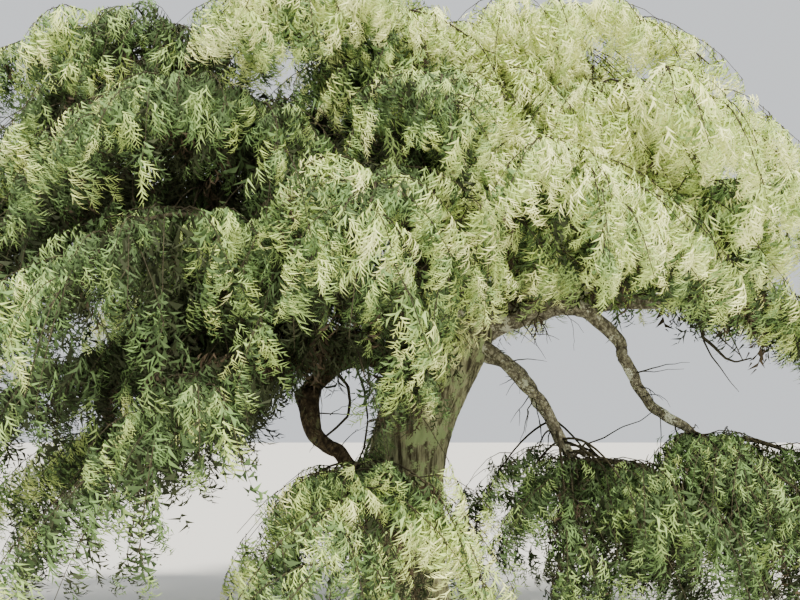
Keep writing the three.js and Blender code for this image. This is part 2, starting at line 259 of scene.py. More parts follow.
def trunkRadius(share, angle):
    height = trunk["height"] * share
    flare = trunk["flare"] * np.exp(-height / trunk["flareHeight"])
    swell = trunk["forkSwell"] * np.exp(-(((height - trunk["forkAt"]) / trunk["forkLength"]) ** 2))
    lobes = 1 + trunk["lobeDepth"] * np.cos(trunk["lobes"] * angle) * np.exp(-height / trunk["lobeHeight"])
    rounding = np.maximum(0, (height - trunk["height"] + trunk["crownLength"]) / trunk["crownLength"])
    section = np.sqrt(1 - trunk["crownTaper"] * rounding * rounding)
    return (trunk["chest"] + flare + swell) * lobes * section * mm


def limbPath(start, end, rise, sway):
    along = end - start
    side = unit(np.array([-along[1], along[0], 0.0]))

    def pointAt(share):
        share = np.asarray(share, float)[..., None]
        middle = np.sin(np.pi * share)
        bend = middle + np.sin(2 * np.pi * share) * limbShape["weave"]
        return start + along * share + up * rise * middle + side * sway * bend

    return pointAt


# Where a limb bends off its even course, as the photograph shows: share of the limb, width of the bend over
# its length, and how far it goes to the right and up, in metres.
bends = {
    "crook_top": ((0.8, 0.15, 0.0, 0.05),),
    "crook_foot": ((0.3, 0.15, -0.03, 0.0), (0.62, 0.16, 0.0, 0.065)),
    "arch_fall": ((0.18, 0.17, 0.085, 0.03), (0.66, 0.15, -0.04, 0.0)),
}
bendCalm = 0.06  # share of the limb over which a bend dies away at its ends


def bentPath(path, turns):
    def pointAt(share):
        share = np.asarray(share, float)
        points = path(share)
        calm = np.clip(np.minimum(share, 1 - share) / bendCalm, 0, 1)
        for at, width, right, rise in turns:
            swell = calm * np.exp(-(((share - at) / width) ** 2))
            points = points + np.stack([right * swell, 0 * swell, rise * swell], -1)
        return points

    return pointAt


paths = {"trunk": trunkPath}
for name, spec in limbs.items():
    (turn, reach, height), (rise, sway) = spec["end"], spec["bend"]
    start = paths[spec["carrier"]](spec["at"])
    end = levelWay(turn) * reach * mm + up * height * mm
    paths[name] = bentPath(limbPath(start, end, rise * mm, sway * mm), bends.get(name, ()))

# Wood.
bark = {
    "trunkSides": 168,
    "trunkRings": 190,
    "flutes": 9,  # long hollows down the trunk
    "fluteDepth": 0.017,
    "fluteWander": 1.6,
    "fluteScale": (0.9, 0.9, 0.55),
    "fluteTwist": 1.1,
    "fluteSharp": 0.7,
    "fluteLevel": 0.6,
    "furrowDepth": 0.009,
    "furrowScale": (27.0, 27.0, 6.0),  # furrows to the metre round the trunk and up it
    "furrowLevel": 0.5,
    "furrowSlope": 2.2,
    "grit": 0.0022,
    "gritScale": 75.0,
    "topCalm": 0.06,  # share of the trunk over which its relief dies away at the top
    "limbSides": 24,
    "limbRing": 0.026,  # length of one row of faces
    "limbRings": 20,  # least number of rows
    "limbLump": 0.13,  # share by which a limb's thickness changes
    "limbLumpScale": 7.5,
    "limbFurrow": 0.06,
    "limbFurrowScale": 34.0,
    "limbFurrowLevel": 0.4,
    "limbFurrowSlope": 2,
    "collar": 0.4,  # how much a limb swells where it leaves
    "collarLength": 0.13,
    "tipTaper": 0.4,  # how much finer the very end of a leafy limb is
    "tipPower": 9,
    "stray": 0.42,  # how far a limb strays from its path, over its radius
    "strayWaves": ((3.1, 20.0, 1.0), (8.0, 31.0, 0.5)),  # scale, shift and weight
    "bareLimbs": ("arch_rise", "arch_fall", "low_right_limb", "crook_top", "crook_foot"),
}

# The same for the limbs whose course shows in the photograph.
strays = {"arch_rise": 0.7, "arch_fall": 0.85, "low_right_limb": 0.5, "crook_top": 0.25, "crook_foot": 0.28}


# Faces of a closed tube of rings: the two last points are its poles.
def tubeFaces(rings, sides, first, flip):
    grid = first + np.arange(rings * sides).reshape(rings, sides)
    ahead = np.roll(grid, -1, axis=1)
    quads = np.stack([grid[:-1], ahead[:-1], ahead[1:], grid[1:]], -1).reshape(-1, 4)
    foot, tip = first + rings * sides, first + rings * sides + 1
    caps = [(ahead[0, j], grid[0, j], foot) for j in range(sides)]
    caps += [(grid[-1, j], ahead[-1, j], tip) for j in range(sides)]
    faces = quads.tolist() + caps
    return [face[::-1] for face in faces] if flip else faces


# Rings of points as one closed shape, added to the lists of a mesh.
def addTube(made, points, flip=False):
    rings, sides = points.shape[:2]
    first = made["count"]
    poles = np.stack([points[0].mean(0), points[-1].mean(0)])
    made["points"].append(np.concatenate([points.reshape(-1, 3), poles]))
    made["faces"] += tubeFaces(rings, sides, first, flip)
    made["count"] += rings * sides + 2


def newShape():
    return {"points": [], "faces": [], "count": 0}


def meshPiece(name, made, material, smooth=True):
    mesh = bpy.data.meshes.new(name)
    mesh.from_pydata(np.concatenate(made["points"]).tolist(), [], made["faces"])
    mesh.polygons.foreach_set("use_smooth", [smooth] * len(mesh.polygons))
    mesh.materials.append(material)
    mesh.update()
    return addObject(name, mesh)


def noiseAt(points, scale, shift=0.0):
    scale = np.broadcast_to(scale, 3)
    placed = points.reshape(-1, 3) * scale + shift
    values = [noise.noise(Vector(place)) for place in placed.tolist()]
    return np.array(values).reshape(points.shape[:-1])


uprightBelow = 0.08  # a path whose way is less level than this stands upright


# Points in rings round a path, and the directions out from it.
def ringsAlong(points, radii, sides):
    way = unit(np.gradient(points, axis=0))
    flat = np.cross(np.broadcast_to(up, way.shape), way)
    level = np.linalg.norm(flat, axis=1, keepdims=True) > uprightBelow
    side = unit(np.where(level, flat, [[0.0, 1.0, 0.0]]))
    side = unit(side - way * (side * way).sum(1, keepdims=True))
    over = np.cross(way, side)
    angle = np.linspace(0, 2 * np.pi, sides, endpoint=False)
    out = side[:, None] * np.cos(angle)[None, :, None] + over[:, None] * np.sin(angle)[None, :, None]
    return points[:, None] + out * radii[:, None, None], out


def addRod(made, points, radii, sides):
    addTube(made, ringsAlong(points, radii, sides)[0])


def makeTrunk(material):
    share = np.linspace(0, 1, bark["trunkRings"])[:, None]
    angle = np.linspace(0, 2 * np.pi, bark["trunkSides"], endpoint=False)[None]
    centre = trunkPath(share[:, 0])[:, None]
    out = np.stack([-np.sin(angle), -np.cos(angle), np.zeros_like(angle)], -1) + 0 * share[..., None]
    radius = trunkRadius(share, angle)
    smooth = centre + out * radius[..., None]
    wander = bark["fluteWander"] * noiseAt(smooth, bark["fluteScale"], shift=7.0)
    wave = bark["flutes"] * angle / 2 + wander + bark["fluteTwist"] * share
    flute = np.abs(np.sin(wave)) ** bark["fluteSharp"] - bark["fluteLevel"]
    furrow = np.abs(noiseAt(smooth, bark["furrowScale"], shift=3.0))
    furrow = bark["furrowLevel"] - bark["furrowSlope"] * furrow
    grit = noiseAt(smooth, bark["gritScale"], shift=11.0)
    relief = bark["fluteDepth"] * flute + bark["furrowDepth"] * furrow + bark["grit"] * grit
    calm = np.minimum(1, (1 - share) / bark["topCalm"])
    points = centre + out * (radius + relief * calm)[..., None]
    points[0, :, 2] = 0
    made = newShape()
    addTube(made, points, flip=True)
    return meshPiece("trunk_bark", made, material)


def makeLimbs(pieceName, wanted, material):
    made = newShape()
    for index, (name, spec) in enumerate(limbs.items()):
        if name not in wanted:
            continue
        root, tip = (radius * mm for radius in spec["radii"])
        length = np.linalg.norm(paths[name](1) - paths[name](0))
        share = np.linspace(0, 1, max(bark["limbRings"], round(length / bark["limbRing"])))
        points = paths[name](share)
        radius = mix(root, tip, share ** limbShape["taperPower"])
        stray = 0
        for scale, shift, weight in bark["strayWaves"]:
            waves = [noiseAt(points, scale, shift * k + index) for k in (1, 2, 3)]
            stray = stray + weight * np.stack(waves, -1)
        stray *= (strays.get(name, bark["stray"]) * 2 * radius * np.sin(np.pi * share) ** 0.5)[:, None]
        points = points + stray
        radius = radius * (1 + bark["collar"] * np.exp(-share * length / bark["collarLength"]))
        if spec["storey"]:
            radius = radius * (1 - bark["tipTaper"] * share ** bark["tipPower"])
        surface, out = ringsAlong(points, radius, bark["limbSides"])
        lump = noiseAt(surface, bark["limbLumpScale"], shift=5.0)
        furrow = np.abs(noiseAt(surface, bark["limbFurrowScale"], shift=9.0)) * bark["limbFurrowSlope"]
        furrow = bark["limbFurrowLevel"] - furrow
        change = 1 + bark["limbLump"] * lump + bark["limbFurrow"] * furrow
        addTube(made, points[:, None] + out * (radius[:, None] * change)[..., None])
    return meshPiece(pieceName, made, material)


# Foliage: stems, branchlets and sprays.

# Windows through the crown in the photograph's pixels: middle, half width and half height.
windows = {
    "crookLoop": (338, 418, 34, 46),
    "overCrook": (352, 366, 40, 9),
    "crookCorner": (320, 382, 26, 18),
    "besideCrook": (279, 428, 24, 40),
    "trunkFront": (418, 452, 30, 18),
    "besideTrunk": (470, 415, 24, 60),
    "betweenLimbs": (522, 388, 42, 56),
    "underArch": (590, 365, 50, 62),
    "overArch": (655, 350, 56, 44),
    "farRight": (705, 388, 40, 44),
    "overLowRight": (604, 436, 62, 22),
    "lowLeft": (232, 512, 32, 24),
    "archCrest": (588, 308, 42, 11),
    "deadLimb": (726, 360, 50, 30),
    "rightEdge": (772, 398, 44, 44),
}

# Masses under a window, the tips of whose sprays may stand up into it.
underWindows = ("low_right_limb", "arch_fall", "crook_foot")


def inWindow(points):
    px, py = pixelsOf(points)
    seen = np.zeros(len(points), bool)
    for x, y, halfWidth, halfHeight in windows.values():
        seen |= ((px - x) / halfWidth) ** 2 + ((py - y) / halfHeight) ** 2 < 1
    return seen


storeys = named("length spread pitch droop twigs", {
    "top": (1450, 980, 24, 0.66, 7),
    "upper": (1500, 1020, 20, 0.82, 7),
    "middle": (1500, 1050, 18, 0.86, 7),
    "inner": (1200, 900, 18, 0.84, 6),
    "skirt": (1300, 950, 14, 0.74, 7),
    "tuft": (950, 680, 10, 0.8, 5),
})
trunkTuft = {"at": 0.93, "turn": 254, "sunk": 56}

stem = {
    "radius": 0.022,
    "tipRadius": 0.005,
    "taperPower": 0.8,
    "rings": 15,
    "sides": 8,
    "sway": 0.03,
    "swayScale": 4.0,
    "swayLag": 3,  # rings
    "swayRise": 0.6,  # over its sway to the side
    "before": 0.99,  # share of a limb from where to its end the way at its end is taken
    "rootSunk": 14,
    "reachFrom": 0.3,
    "reachStep": 0.05,
}
heart = {"share": 0.5, "drop": 0.1}

# Pairs are for the root and the tip of a stem.
branchlet = {
    "span": (0.14, 0.9),
    "angle": (76, 34),
    "pitch": (28, -14),
    "stray": 16,
    "unevenness": 0.16,
    "droop": 0.76,
    "crestSprays": 2,
    "crestSpan": (0.1, 0.78),
    "crestLean": 24,
    "crestLength": 0.62,
    "tipFall": 46,
    "shrink": (1, 0.85, 0.7, 0.55, 0.4),
    "tests": (0.25, 0.5, 0.75, 1.0),  # shares of it that must be free
    "slack": 0.05,  # how far a branchlet may pass the fence between two masses
    "finer": 8,  # side branchlets added between those of the source
    "finerSpan": (0.056, 0.96),
    "finerAngle": 13,  # how widely they differ
    "finerPitch": 12,
    "finerLength": (0.6, 1.0),
    "finerCrest": 6,
    "finerCrestSpan": (0.0, 0.8),
    "finerCrestPitch": 26,
    "finerCrestTurn": 50,
    "finerCrestLength": (0.4, 0.7),
    "radius": 0.0055,
    "tipRadius": 0.0022,
    "byLength": (0.7, 0.3),  # thickness of a branchlet of no length, and its gain with length
    "rings": 5,
    "sides": 3,
    "drawn": 0.96,
    "clear": 0.05,  # lowest point above the ground
    "leafy": 0.45,  # share of its sprays that it must keep
}

# Short branchlets all round the leafy part of a limb.
tuft = {"perMetre": 8.0, "from": 0.2, "to": 0.98, "turn": 105, "pitch": (-12, 62), "length": (0.26, 0.5)}
endTuft = {"count": 10, "from": 0.9, "pitch": (5, 70), "length": (0.28, 0.5)}

# Lesser stems along the leafy part of each limb, that close the crown between the masses.
sideStem = {
    "perMetre": 1.0,
    "from": 0.3,
    "to": 0.94,
    "bareFrom": 0.88,  # on a limb that shows bare
    "bareCount": 3,
    "turn": (38, 88),
    "pitch": (2, 34),
    "length": (0.6, 1.05),
    "droop": 0.74,
    "tests": (0.6, 1),  # shares of it that must be out of the windows
    "clear": 0.3,  # lowest point of its tip
    "twigs": 7,
    "twigSpan": (0.22, 0.98),
    "twigAngle": (70, 8),
    "twigPitch": (24, -20),
    "twigStray": (12, 10),
    "twigLength": (0.38, 0.66),
    "radius": 0.01,
    "tipRadius": 0.004,
    "rings": 11,
    "sides": 6,
    "drawn": 0.86,  # share of its length that is drawn, as its end is lost among the sprays
}

# More of them where the crown is closest: how many, first and last share of the limb, pitch and length.
closerStems = {
    "low_right_limb": ((8, 0.84, 1.0, (-38, 0), (0.5, 0.9)),),
    "arch_fall": ((6, 0.88, 1.0, (-34, 6), (0.5, 0.9)),),
    "low_back_right_limb": ((7, 0.55, 1.0, (-28, 10), (0.5, 0.9)),),
    "upper_left_bough": (
        (6, 0.4, 1.0, (0, 55), (0.5, 0.85)),
        (4, 0.6, 1.0, (-20, 10), (0.6, 0.9)),
        (6, 0.3, 1.0, (45, 75), (0.6, 0.9)),
    ),
    "upper_back_left_bough": ((5, 0.3, 1.0, (0, 50), (0.6, 0.95)),),
    "left_limb": ((7, 0.5, 1.0, (10, 50), (0.6, 0.95)), (6, 0.7, 1.0, (35, 70), (0.6, 0.9))),
    "top_right_bough": ((7, 0.2, 1.0, (-10, 45), (0.55, 0.9)), (4, 0.3, 0.9, (-40, -10), (0.5, 0.8))),
    "leader": ((8, 0.35, 1.0, (25, 65), (0.5, 0.8)),),
    "upper_front_left_bough": (
        (5, 0.5, 1.0, (-25, 35), (0.5, 0.8)),
        (5, 0.35, 1.0, (-55, -15), (0.45, 0.75)),
        (3, 0.3, 0.8, (30, 60), (0.45, 0.75)),
    ),
    "side_right_bough": ((8, 0.45, 1.0, (-10, 35), (0.6, 1.0)), (4, 0.8, 1.0, (20, 60), (0.45, 0.7))),
    "right_limb": ((7, 0.55, 1.0, (-5, 35), (0.6, 1.0)),),
    "front_right_limb": ((8, 0.35, 1.0, (-30, 25), (0.5, 0.85)),),
    "top_front_bough": ((5, 0.1, 0.9, (-20, 40), (0.5, 0.9)), (4, 0.55, 1.0, (-50, -10), (0.45, 0.75))),
    "upper_front_bough": ((4, 0.2, 0.9, (10, 50), (0.45, 0.8)),),
    "upper_front_right_bough": ((6, 0.35, 0.95, (10, 50), (0.5, 0.85)),),
    "upper_right_bough": ((5, 0.4, 1.0, (10, 45), (0.6, 0.95)), (3, 0.35, 0.9, (40, 70), (0.5, 0.8))),
    "upper_back_right_bough": ((6, 0.4, 1.0, (25, 65), (0.6, 0.95)),),
    "upper_back_bough": ((6, 0.25, 1.0, (15, 55), (0.6, 0.95)),),
    "low_front_left_limb": ((5, 0.1, 0.75, (0, 40), (0.35, 0.6)),),
    "low_left_limb": ((8, 0.3, 1.0, (-10, 40), (0.45, 0.8)),),
    "front_left_limb": ((5, 0.5, 1.0, (-20, 25), (0.5, 0.8)), (5, 0.35, 0.95, (30, 60), (0.45, 0.75))),
    "crook_foot": ((5, 0.85, 1.0, (-30, 15), (0.5, 0.85)),),
}
closerTurn = (30, 115)

# And stems that carry straight on outwards.
outerStems = {
    "left_limb": ((7, 0.78, 1.0, (35, 65), (0.7, 1.1)), (4, 0.8, 1.0, (-20, 20), (0.9, 1.3))),
    "upper_left_bough": ((8, 0.8, 1.0, (-25, 5), (1.0, 1.4)),),
    "top_right_bough": ((5, 0.6, 1.0, (-40, -5), (0.6, 0.95)), (6, 0.75, 1.0, (-18, 18), (0.5, 0.85))),
    "low_left_limb": ((5, 0.7, 1.0, (40, 75), (0.6, 0.9)),),
    "upper_front_right_bough": ((5, 0.6, 1.0, (45, 75), (0.5, 0.75)),),
}
outerTurn = (0, 30)


# The source's own run of numbers from 0 to 1 for a seed.
def dice(seed):
    state = (seed * 7919 + 12345) & 0xFFFFFFFF
    while True:
        state = (state * 1664525 + 1013904223) & 0xFFFFFFFF
        yield state / 4294967296


def hang(start, turn, pitch, length, droop, share):
    pitch = np.radians(pitch)
    level = levelWay(turn) * (np.cos(pitch) * length * share)[..., None]
    lift = length * (np.sin(pitch) * share - droop * share * share)
    return start + level + up * lift[..., None]


# Start, turn, pitch, length and droop of the stem of a mass.
def courseOf(mass):
    reach = mass["reach"]
    return mass["start"], mass["turn"], mass["pitch"], mass["length"] * reach, mass["droop"] * reach


def stemAt(mass, share):
    return hang(*courseOf(mass), np.asarray(share, float))


masses = []
for name, spec in limbs.items():
    if spec["storey"]:
        end, before = paths[name](1), paths[name](stem["before"])
        start = end - unit(end - before) * stem["rootSunk"] * mm
        turn = spec["end"][0] + spec["veer"]
        masses.append({"name": name, "start": start, "turn": turn, "storey": spec["storey"]})
tuftAway = levelWay(trunkTuft["turn"]) * (trunk["chest"] - trunkTuft["sunk"]) * mm
tuftStart = trunkPath(trunkTuft["at"]) + tuftAway
masses.append({"name": "trunk_tuft", "start": tuftStart, "turn": trunkTuft["turn"], "storey": "tuft"})
for mass in masses:
    grow = storeys[mass["storey"]]
    mass.update(pitch=grow["pitch"], length=grow["length"] * mm, droop=grow["droop"], reach=1.0)
    mass["heart"] = stemAt(mass, heart["share"]) - up * heart["drop"] * mass["length"]
hearts = np.stack([mass["heart"] for mass in masses])
foliageNodes = ["foliage_" + mass["name"].removesuffix("_limb").removesuffix("_bough") for mass in masses]


# How far points lie inside the space of their mass, halfway to the hearts of the others.
def roomAt(points, mine):
    between = hearts[None] - hearts[mine][:, None]
    distance = np.linalg.norm(between, axis=2)
    distance[distance < tiny] = 1 / tiny  # its own heart
    toward = ((points - hearts[mine])[:, None] * between).sum(2) / distance
    return (distance / 2 - toward).min(1)


sideStems = []

# Kinds of branchlet: of the source, a finer one, one that may leave the space of its mass, and a stem.
sourceKind, finerKind, freeKind, stemKind = range(4)


# The branchlets of the source, by its own rule and numbers.
def planSource(add, mass, roll):
    grow = storeys[mass["storey"]]
    spread = grow["spread"] * mm
    for i in range(grow["twigs"]):
        along = i / (grow["twigs"] - 1)
        angle = mix(*branchlet["angle"], along) + branchlet["stray"] * (next(roll) - 0.5)
        pitch = mix(*branchlet["pitch"], along) + branchlet["stray"] * (next(roll) - 0.5)
        length = spread * (1 - branchlet["unevenness"] * next(roll))
        turn = mass["turn"] + (angle if i % 2 else -angle)
        add(sourceKind, stemAt(mass, mix(*branchlet["span"], along)), turn, pitch, length)
    for i in range(branchlet["crestSprays"]):
        along = i / (branchlet["crestSprays"] - 1)
        pitch = grow["pitch"] * (1 - along) + branchlet["stray"] * next(roll)
        turn = mass["turn"] + branchlet["crestLean"] * (1 if i % 2 else -1)
        at = stemAt(mass, mix(*branchlet["crestSpan"], along))
        add(sourceKind, at, turn, pitch, spread * branchlet["crestLength"])
    pitch = grow["pitch"] - branchlet["tipFall"]
    add(sourceKind, stemAt(mass, 1), mass["turn"], pitch, spread * branchlet["crestLength"])


# More branchlets between them, at the sides and on the crest of the stem.
def planFiner(add, mass, chance):
    grow = storeys[mass["storey"]]
    spread = grow["spread"] * mm
    for i in range(branchlet["finer"]):
        along = (i + 0.5) / branchlet["finer"]
        angle = mix(*branchlet["angle"], along) + chance.normal(0, branchlet["finerAngle"])
        pitch = mix(*branchlet["pitch"], along) + chance.normal(0, branchlet["finerPitch"])
        turn = mass["turn"] + (-angle if i % 2 else angle)
        at = stemAt(mass, mix(*branchlet["finerSpan"], along))
        add(finerKind, at, turn, pitch, spread * chance.uniform(*branchlet["finerLength"]))
    for i in range(branchlet["finerCrest"]):
        along = (i + 0.5) / branchlet["finerCrest"]
        pitch = grow["pitch"] * (1 - along) + chance.uniform(0, branchlet["finerCrestPitch"])
        turn = mass["turn"] + chance.uniform(-1, 1) * branchlet["finerCrestTurn"]
        at = stemAt(mass, mix(*branchlet["finerCrestSpan"], along))
        add(finerKind, at, turn, pitch, spread * chance.uniform(*branchlet["finerCrestLength"]))


# Tufts along the limb of a mass and at its end.
def planTufts(add, name, length, bare, chance):
    path, heading = paths[name], limbs[name]["end"][0]
    count = 0 if bare else round(length * (tuft["to"] - tuft["from"]) * tuft["perMetre"])
    for i in range(count):
        at = path(mix(tuft["from"], tuft["to"], (i + chance.random()) / count))
        turn = heading + chance.uniform(-1, 1) * tuft["turn"]
        add(freeKind, at, turn, chance.uniform(*tuft["pitch"]), chance.uniform(*tuft["length"]))
    for i in range(endTuft["count"]):
        at = path(chance.uniform(endTuft["from"], 1))
        turn = 360 * (i + chance.random()) / endTuft["count"]
        add(freeKind, at, turn, chance.uniform(*endTuft["pitch"]), chance.uniform(*endTuft["length"]))


# Lesser stems with their own branchlets, apart from those whose ends would stand in a window.
def planSideStems(add, name, length, bare, chance):
    first = sideStem["bareFrom" if bare else "from"]
    count = sideStem["bareCount"] if bare else max(2, round(length * sideStem["perMetre"]))
    plans = [(count, first, sideStem["to"], sideStem["pitch"], sideStem["length"], sideStem["turn"])]
    plans += [(*row, closerTurn) for row in closerStems.get(name, ())]
    plans += [(*row, outerTurn) for row in outerStems.get(name, ())]
    for count, first, last, pitches, lengths, turns in plans:
        for i in range(count):
            at = paths[name](mix(first, last, (i + chance.random()) / count))
            turn = limbs[name]["end"][0] + (1 if i % 2 else -1) * chance.uniform(*turns)
            course = (at, turn, chance.uniform(*pitches), chance.uniform(*lengths), sideStem["droop"])
            end = hang(*course, np.array(sideStem["tests"]))
            if end[1, 2] < sideStem["clear"] or inWindow(end).any():
                continue
            sideStems.append(course)
            add(stemKind, *course)
            for k in range(sideStem["twigs"]):
                along = k / (sideStem["twigs"] - 1)
                angle = mix(*sideStem["twigAngle"], along) * (1 if k % 2 else -1)
                angle += chance.normal(0, sideStem["twigStray"][0])
                root = hang(*course, np.float64(mix(*sideStem["twigSpan"], along)))
                pitch = mix(*sideStem["twigPitch"], along) + chance.normal(0, sideStem["twigStray"][1])
                add(freeKind, root, turn + angle, pitch, chance.uniform(*sideStem["twigLength"]))


def planBranchlets():
    rows = []
    for index, mass in enumerate(masses):

        def add(kind, start, turn, pitch, length, droop=branchlet["droop"]):
            rows.append((kind, index, *start, turn, pitch, length, droop))

        while mass["reach"] > stem["reachFrom"]:
            tip = stemAt(mass, 1)
            if roomAt(tip[None], [index])[0] > 0 and tip[2] > branchlet["clear"]:
                break
            mass["reach"] -= stem["reachStep"]
        add(stemKind, *courseOf(mass))
        planSource(add, mass, dice(index + 1))
        chance = np.random.default_rng(seeds["branchlets"] + index)
        planFiner(add, mass, chance)
        name = mass["name"]
        if name in limbs:
            length, bare = np.linalg.norm(paths[name](1) - paths[name](0)), name in bark["bareLimbs"]
            planTufts(add, name, length, bare, chance)
            planSideStems(add, name, length, bare, chance)
    return np.array(rows)


# Shortens each branchlet until it stays in its space, in the box and out of the windows, or leaves it out.
def fitBranchlets(rows):
    kind, mine = rows[:, 0].astype(int), rows[:, 1].astype(int)
    start, turn, pitch, length, droop = rows[:, 2:5], rows[:, 5], rows[:, 6], rows[:, 7], rows[:, 8]
    kept = (kind == stemKind).astype(float)
    for shrink in branchlet["shrink"]:
        free = np.ones(len(rows), bool)
        for share in branchlet["tests"]:
            points = hang(start, turn, pitch, length * shrink, droop, share)
            free &= ~inWindow(points)
            room = roomAt(points, mine) > -branchlet["slack"]
            free &= (room | (kind == freeKind)) & (points[:, 2] > branchlet["clear"])
            free &= ((points > boxLow) & (points < boxHigh)).all(1)
        kept = np.where((kept == 0) & free, shrink, kept)
    return [values[kept > 0] for values in (kind, mine, start, turn, pitch, length * kept, droop)]


# Sprays along the branchlets.
spray = {
    "spacing": 0.103,  # between two pairs along a branchlet
    "stemSpacing": 0.15,  # and along a stem
    "crest": 0.7,  # sprays along the top of a branchlet for each pair at its sides
    "span": (0.13, 0.92),
    "spanStray": 0.02,
    "crestSpan": (0.06, 0.94),
    "crestTurn": 0.35,
    "crestRise": 0.12,
    "length": (0.25, 0.36),
    "longest": (0.45, 1.05, 0.35),  # where along a branchlet, how long, and the loss away from there
    "byLength": (0.55, 0.5),  # their size on a branchlet of no length, and its gain with length
    "angle": (66, 30),  # from the root of a branchlet to its tip
    "wander": 13,
    "fall": (0.15, 0.95),
    "rootFall": 0.4,
    "roll": 0.4,
    "rise": 0.25,
    "tuftLength": 0.4,  # sprays grow larger and smaller by turns along a branchlet, as tufts
    "tuftSize": 0.26,
    "ahead": 0.02,
    "clear": 0.14,  # lowest point above the ground
    "pastBox": 0.02,
}

# Columns of a row of sprays.
rootColumns, forwardColumns, normalColumns = slice(0, 3), slice(3, 6), slice(6, 9)
sizeColumn, massColumn, branchletColumn, alongColumn, waveColumn = range(9, 14)

# Patches of the crown: where the least sprays grow and where they are lighter.
patches = {
    "thinScale": 2.5,
    "thinBelow": -0.22,
    "backing": 0.6,
    "deepFrom": 0.7,  # sprays with more cover than this share of them all are deep in the crown
    "deepShare": 0.66,  # share of those that is left out
    "deepSize": 1.45,  # how much larger the rest of them are
    "backFall": 0.3,
    "toneScale": 1.6,
    "tone": 0.3,
}


def placeSprays(branchlets):
    chance = np.random.default_rng(seeds["sprays"])
    found = []
    first, last = spray["span"]
    low, high = spray["length"]
    longestAt, longest, loss = spray["longest"]
    shortest, gain = spray["byLength"]
    for b, (kind, mass, start, turn, pitch, length, droop) in enumerate(zip(*branchlets)):
        spacing = spray["stemSpacing" if kind == stemKind else "spacing"]
        pairs = max(2, int((last - first) * length / spacing))
        share = np.repeat(np.linspace(first, last, pairs), 2)
        share = share + chance.normal(0, spray["spanStray"], 2 * pairs)
        crest = np.linspace(*spray["crestSpan"], max(2, round(pairs * spray["crest"])))
        share = np.append(share, crest)
        hand = np.append(np.tile([1.0, -1.0], pairs), np.zeros(len(crest)))
        along = np.clip((share - first) / (last - first), 0, 1)
        root = hang(start, turn, pitch, length, droop, share)
        way = unit(hang(start, turn, pitch, length, droop, share + spray["ahead"]) - root)
        side = levelWay(turn + 90)
        over = np.cross(way, side)
        angle = np.radians(mix(*spray["angle"], along) + chance.normal(0, spray["wander"], len(share)))
        angle = np.where(hand == 0, chance.normal(0, spray["crestTurn"], len(share)), angle * hand)
        forward = way * np.cos(angle)[:, None] + side * np.sin(angle)[:, None]
        fall = chance.uniform(*spray["fall"], len(share)) * (spray["rootFall"] + along)
        forward = unit(forward - up * np.where(hand == 0, -spray["crestRise"], fall)[:, None])
        lean = over + side * chance.normal(0, spray["roll"], len(share))[:, None] + spray["rise"] * up
        normal = unit(lean - forward * (lean * forward).sum(1, keepdims=True))
        size = chance.uniform(low, high, len(share)) * (longest - loss * np.abs(along - longestAt))
        size = size * min(1, shortest + gain * length)
        wave = np.cos(2 * np.pi * (share * length / spray["tuftLength"] + chance.random()))
        size = size * (1 + spray["tuftSize"] * wave)
        mine, numbers = np.full(len(share), mass), np.full(len(share), b)
        found.append(np.column_stack([root, forward, normal, size, mine, numbers, along, wave]))
    return np.concatenate(found)


def massesOf(rows):
    return rows[:, massColumn].astype(int)


def branchletsOf(rows):
    return rows[:, branchletColumn].astype(int)


# Points of the sprays at this share of their length.
def pointsOf(rows, share):
    return rows[:, rootColumns] + rows[:, forwardColumns] * rows[:, [sizeColumn]] * share


def keepSprays(rows):
    root, middle, tip = (pointsOf(rows, share) for share in (0, 0.5, 1))
    keep = (tip[:, 2] > spray["clear"]) & (root[:, 2] > spray["clear"])
    keep &= ((tip > boxLow - spray["pastBox"]) & (tip < boxHigh + spray["pastBox"])).all(1)
    under = np.isin([mass["name"] for mass in masses], underWindows)[massesOf(rows)]
    keep &= ~inWindow(root) & ~inWindow(middle) & (under | ~inWindow(tip))
    return rows[keep]


light = {
    "past": 1.5,  # how far past the box of the solids the counting goes
    "core": (0.15, 0, 0),  # where outwards starts
    "cell": 0.11,  # size of a box in which sprays are counted
    "step": 0.11,
    "steps": 9,
    "above": 0.72,  # weight of the way up, the rest goes to the way out
    "aboveOut": 0.2,
    "outUp": 0.35,
    "own": 0.5,  # weight of a spray's place in its own mass, the rest goes to its place in the crown
    "near": 0.2,  # size of the boxes in which a spray is compared with its neighbours
    "lift": 0.8,  # how much the way up counts there, over the way out
}


def outwardOf(points):
    return unit((points - light["core"]) * [1, 1, 0])


# The least corner of the boxes of this size, and how many there are each way.
def boxesOf(size):
    low, high = np.array(cadLow) - light["past"], np.array(cadHigh) + light["past"]
    return low, ((high - low) / size).astype(int) + 2


def ranksOf(values):
    return values.argsort().argsort() / max(1, len(values) - 1)


# How many sprays lie near the rays that leave each spray.
def coverOf(rows, rays):
    middle = pointsOf(rows, 0.5)
    low, counts = boxesOf(light["cell"])
    crowd = np.zeros(tuple(counts))
    np.add.at(crowd, tuple(((middle - low) / light["cell"]).astype(int).T), 1)
    cover = np.zeros(len(rows))
    for weight, ray in rays:
        for step in range(1, light["steps"] + 1):
            at = ((middle + unit(ray) * (step * light["step"]) - low) / light["cell"]).astype(int)
            at = np.clip(at, 0, counts - 1)
            cover += weight * crowd[tuple(at.T)] * (1 - step / (light["steps"] + 2))
    return cover


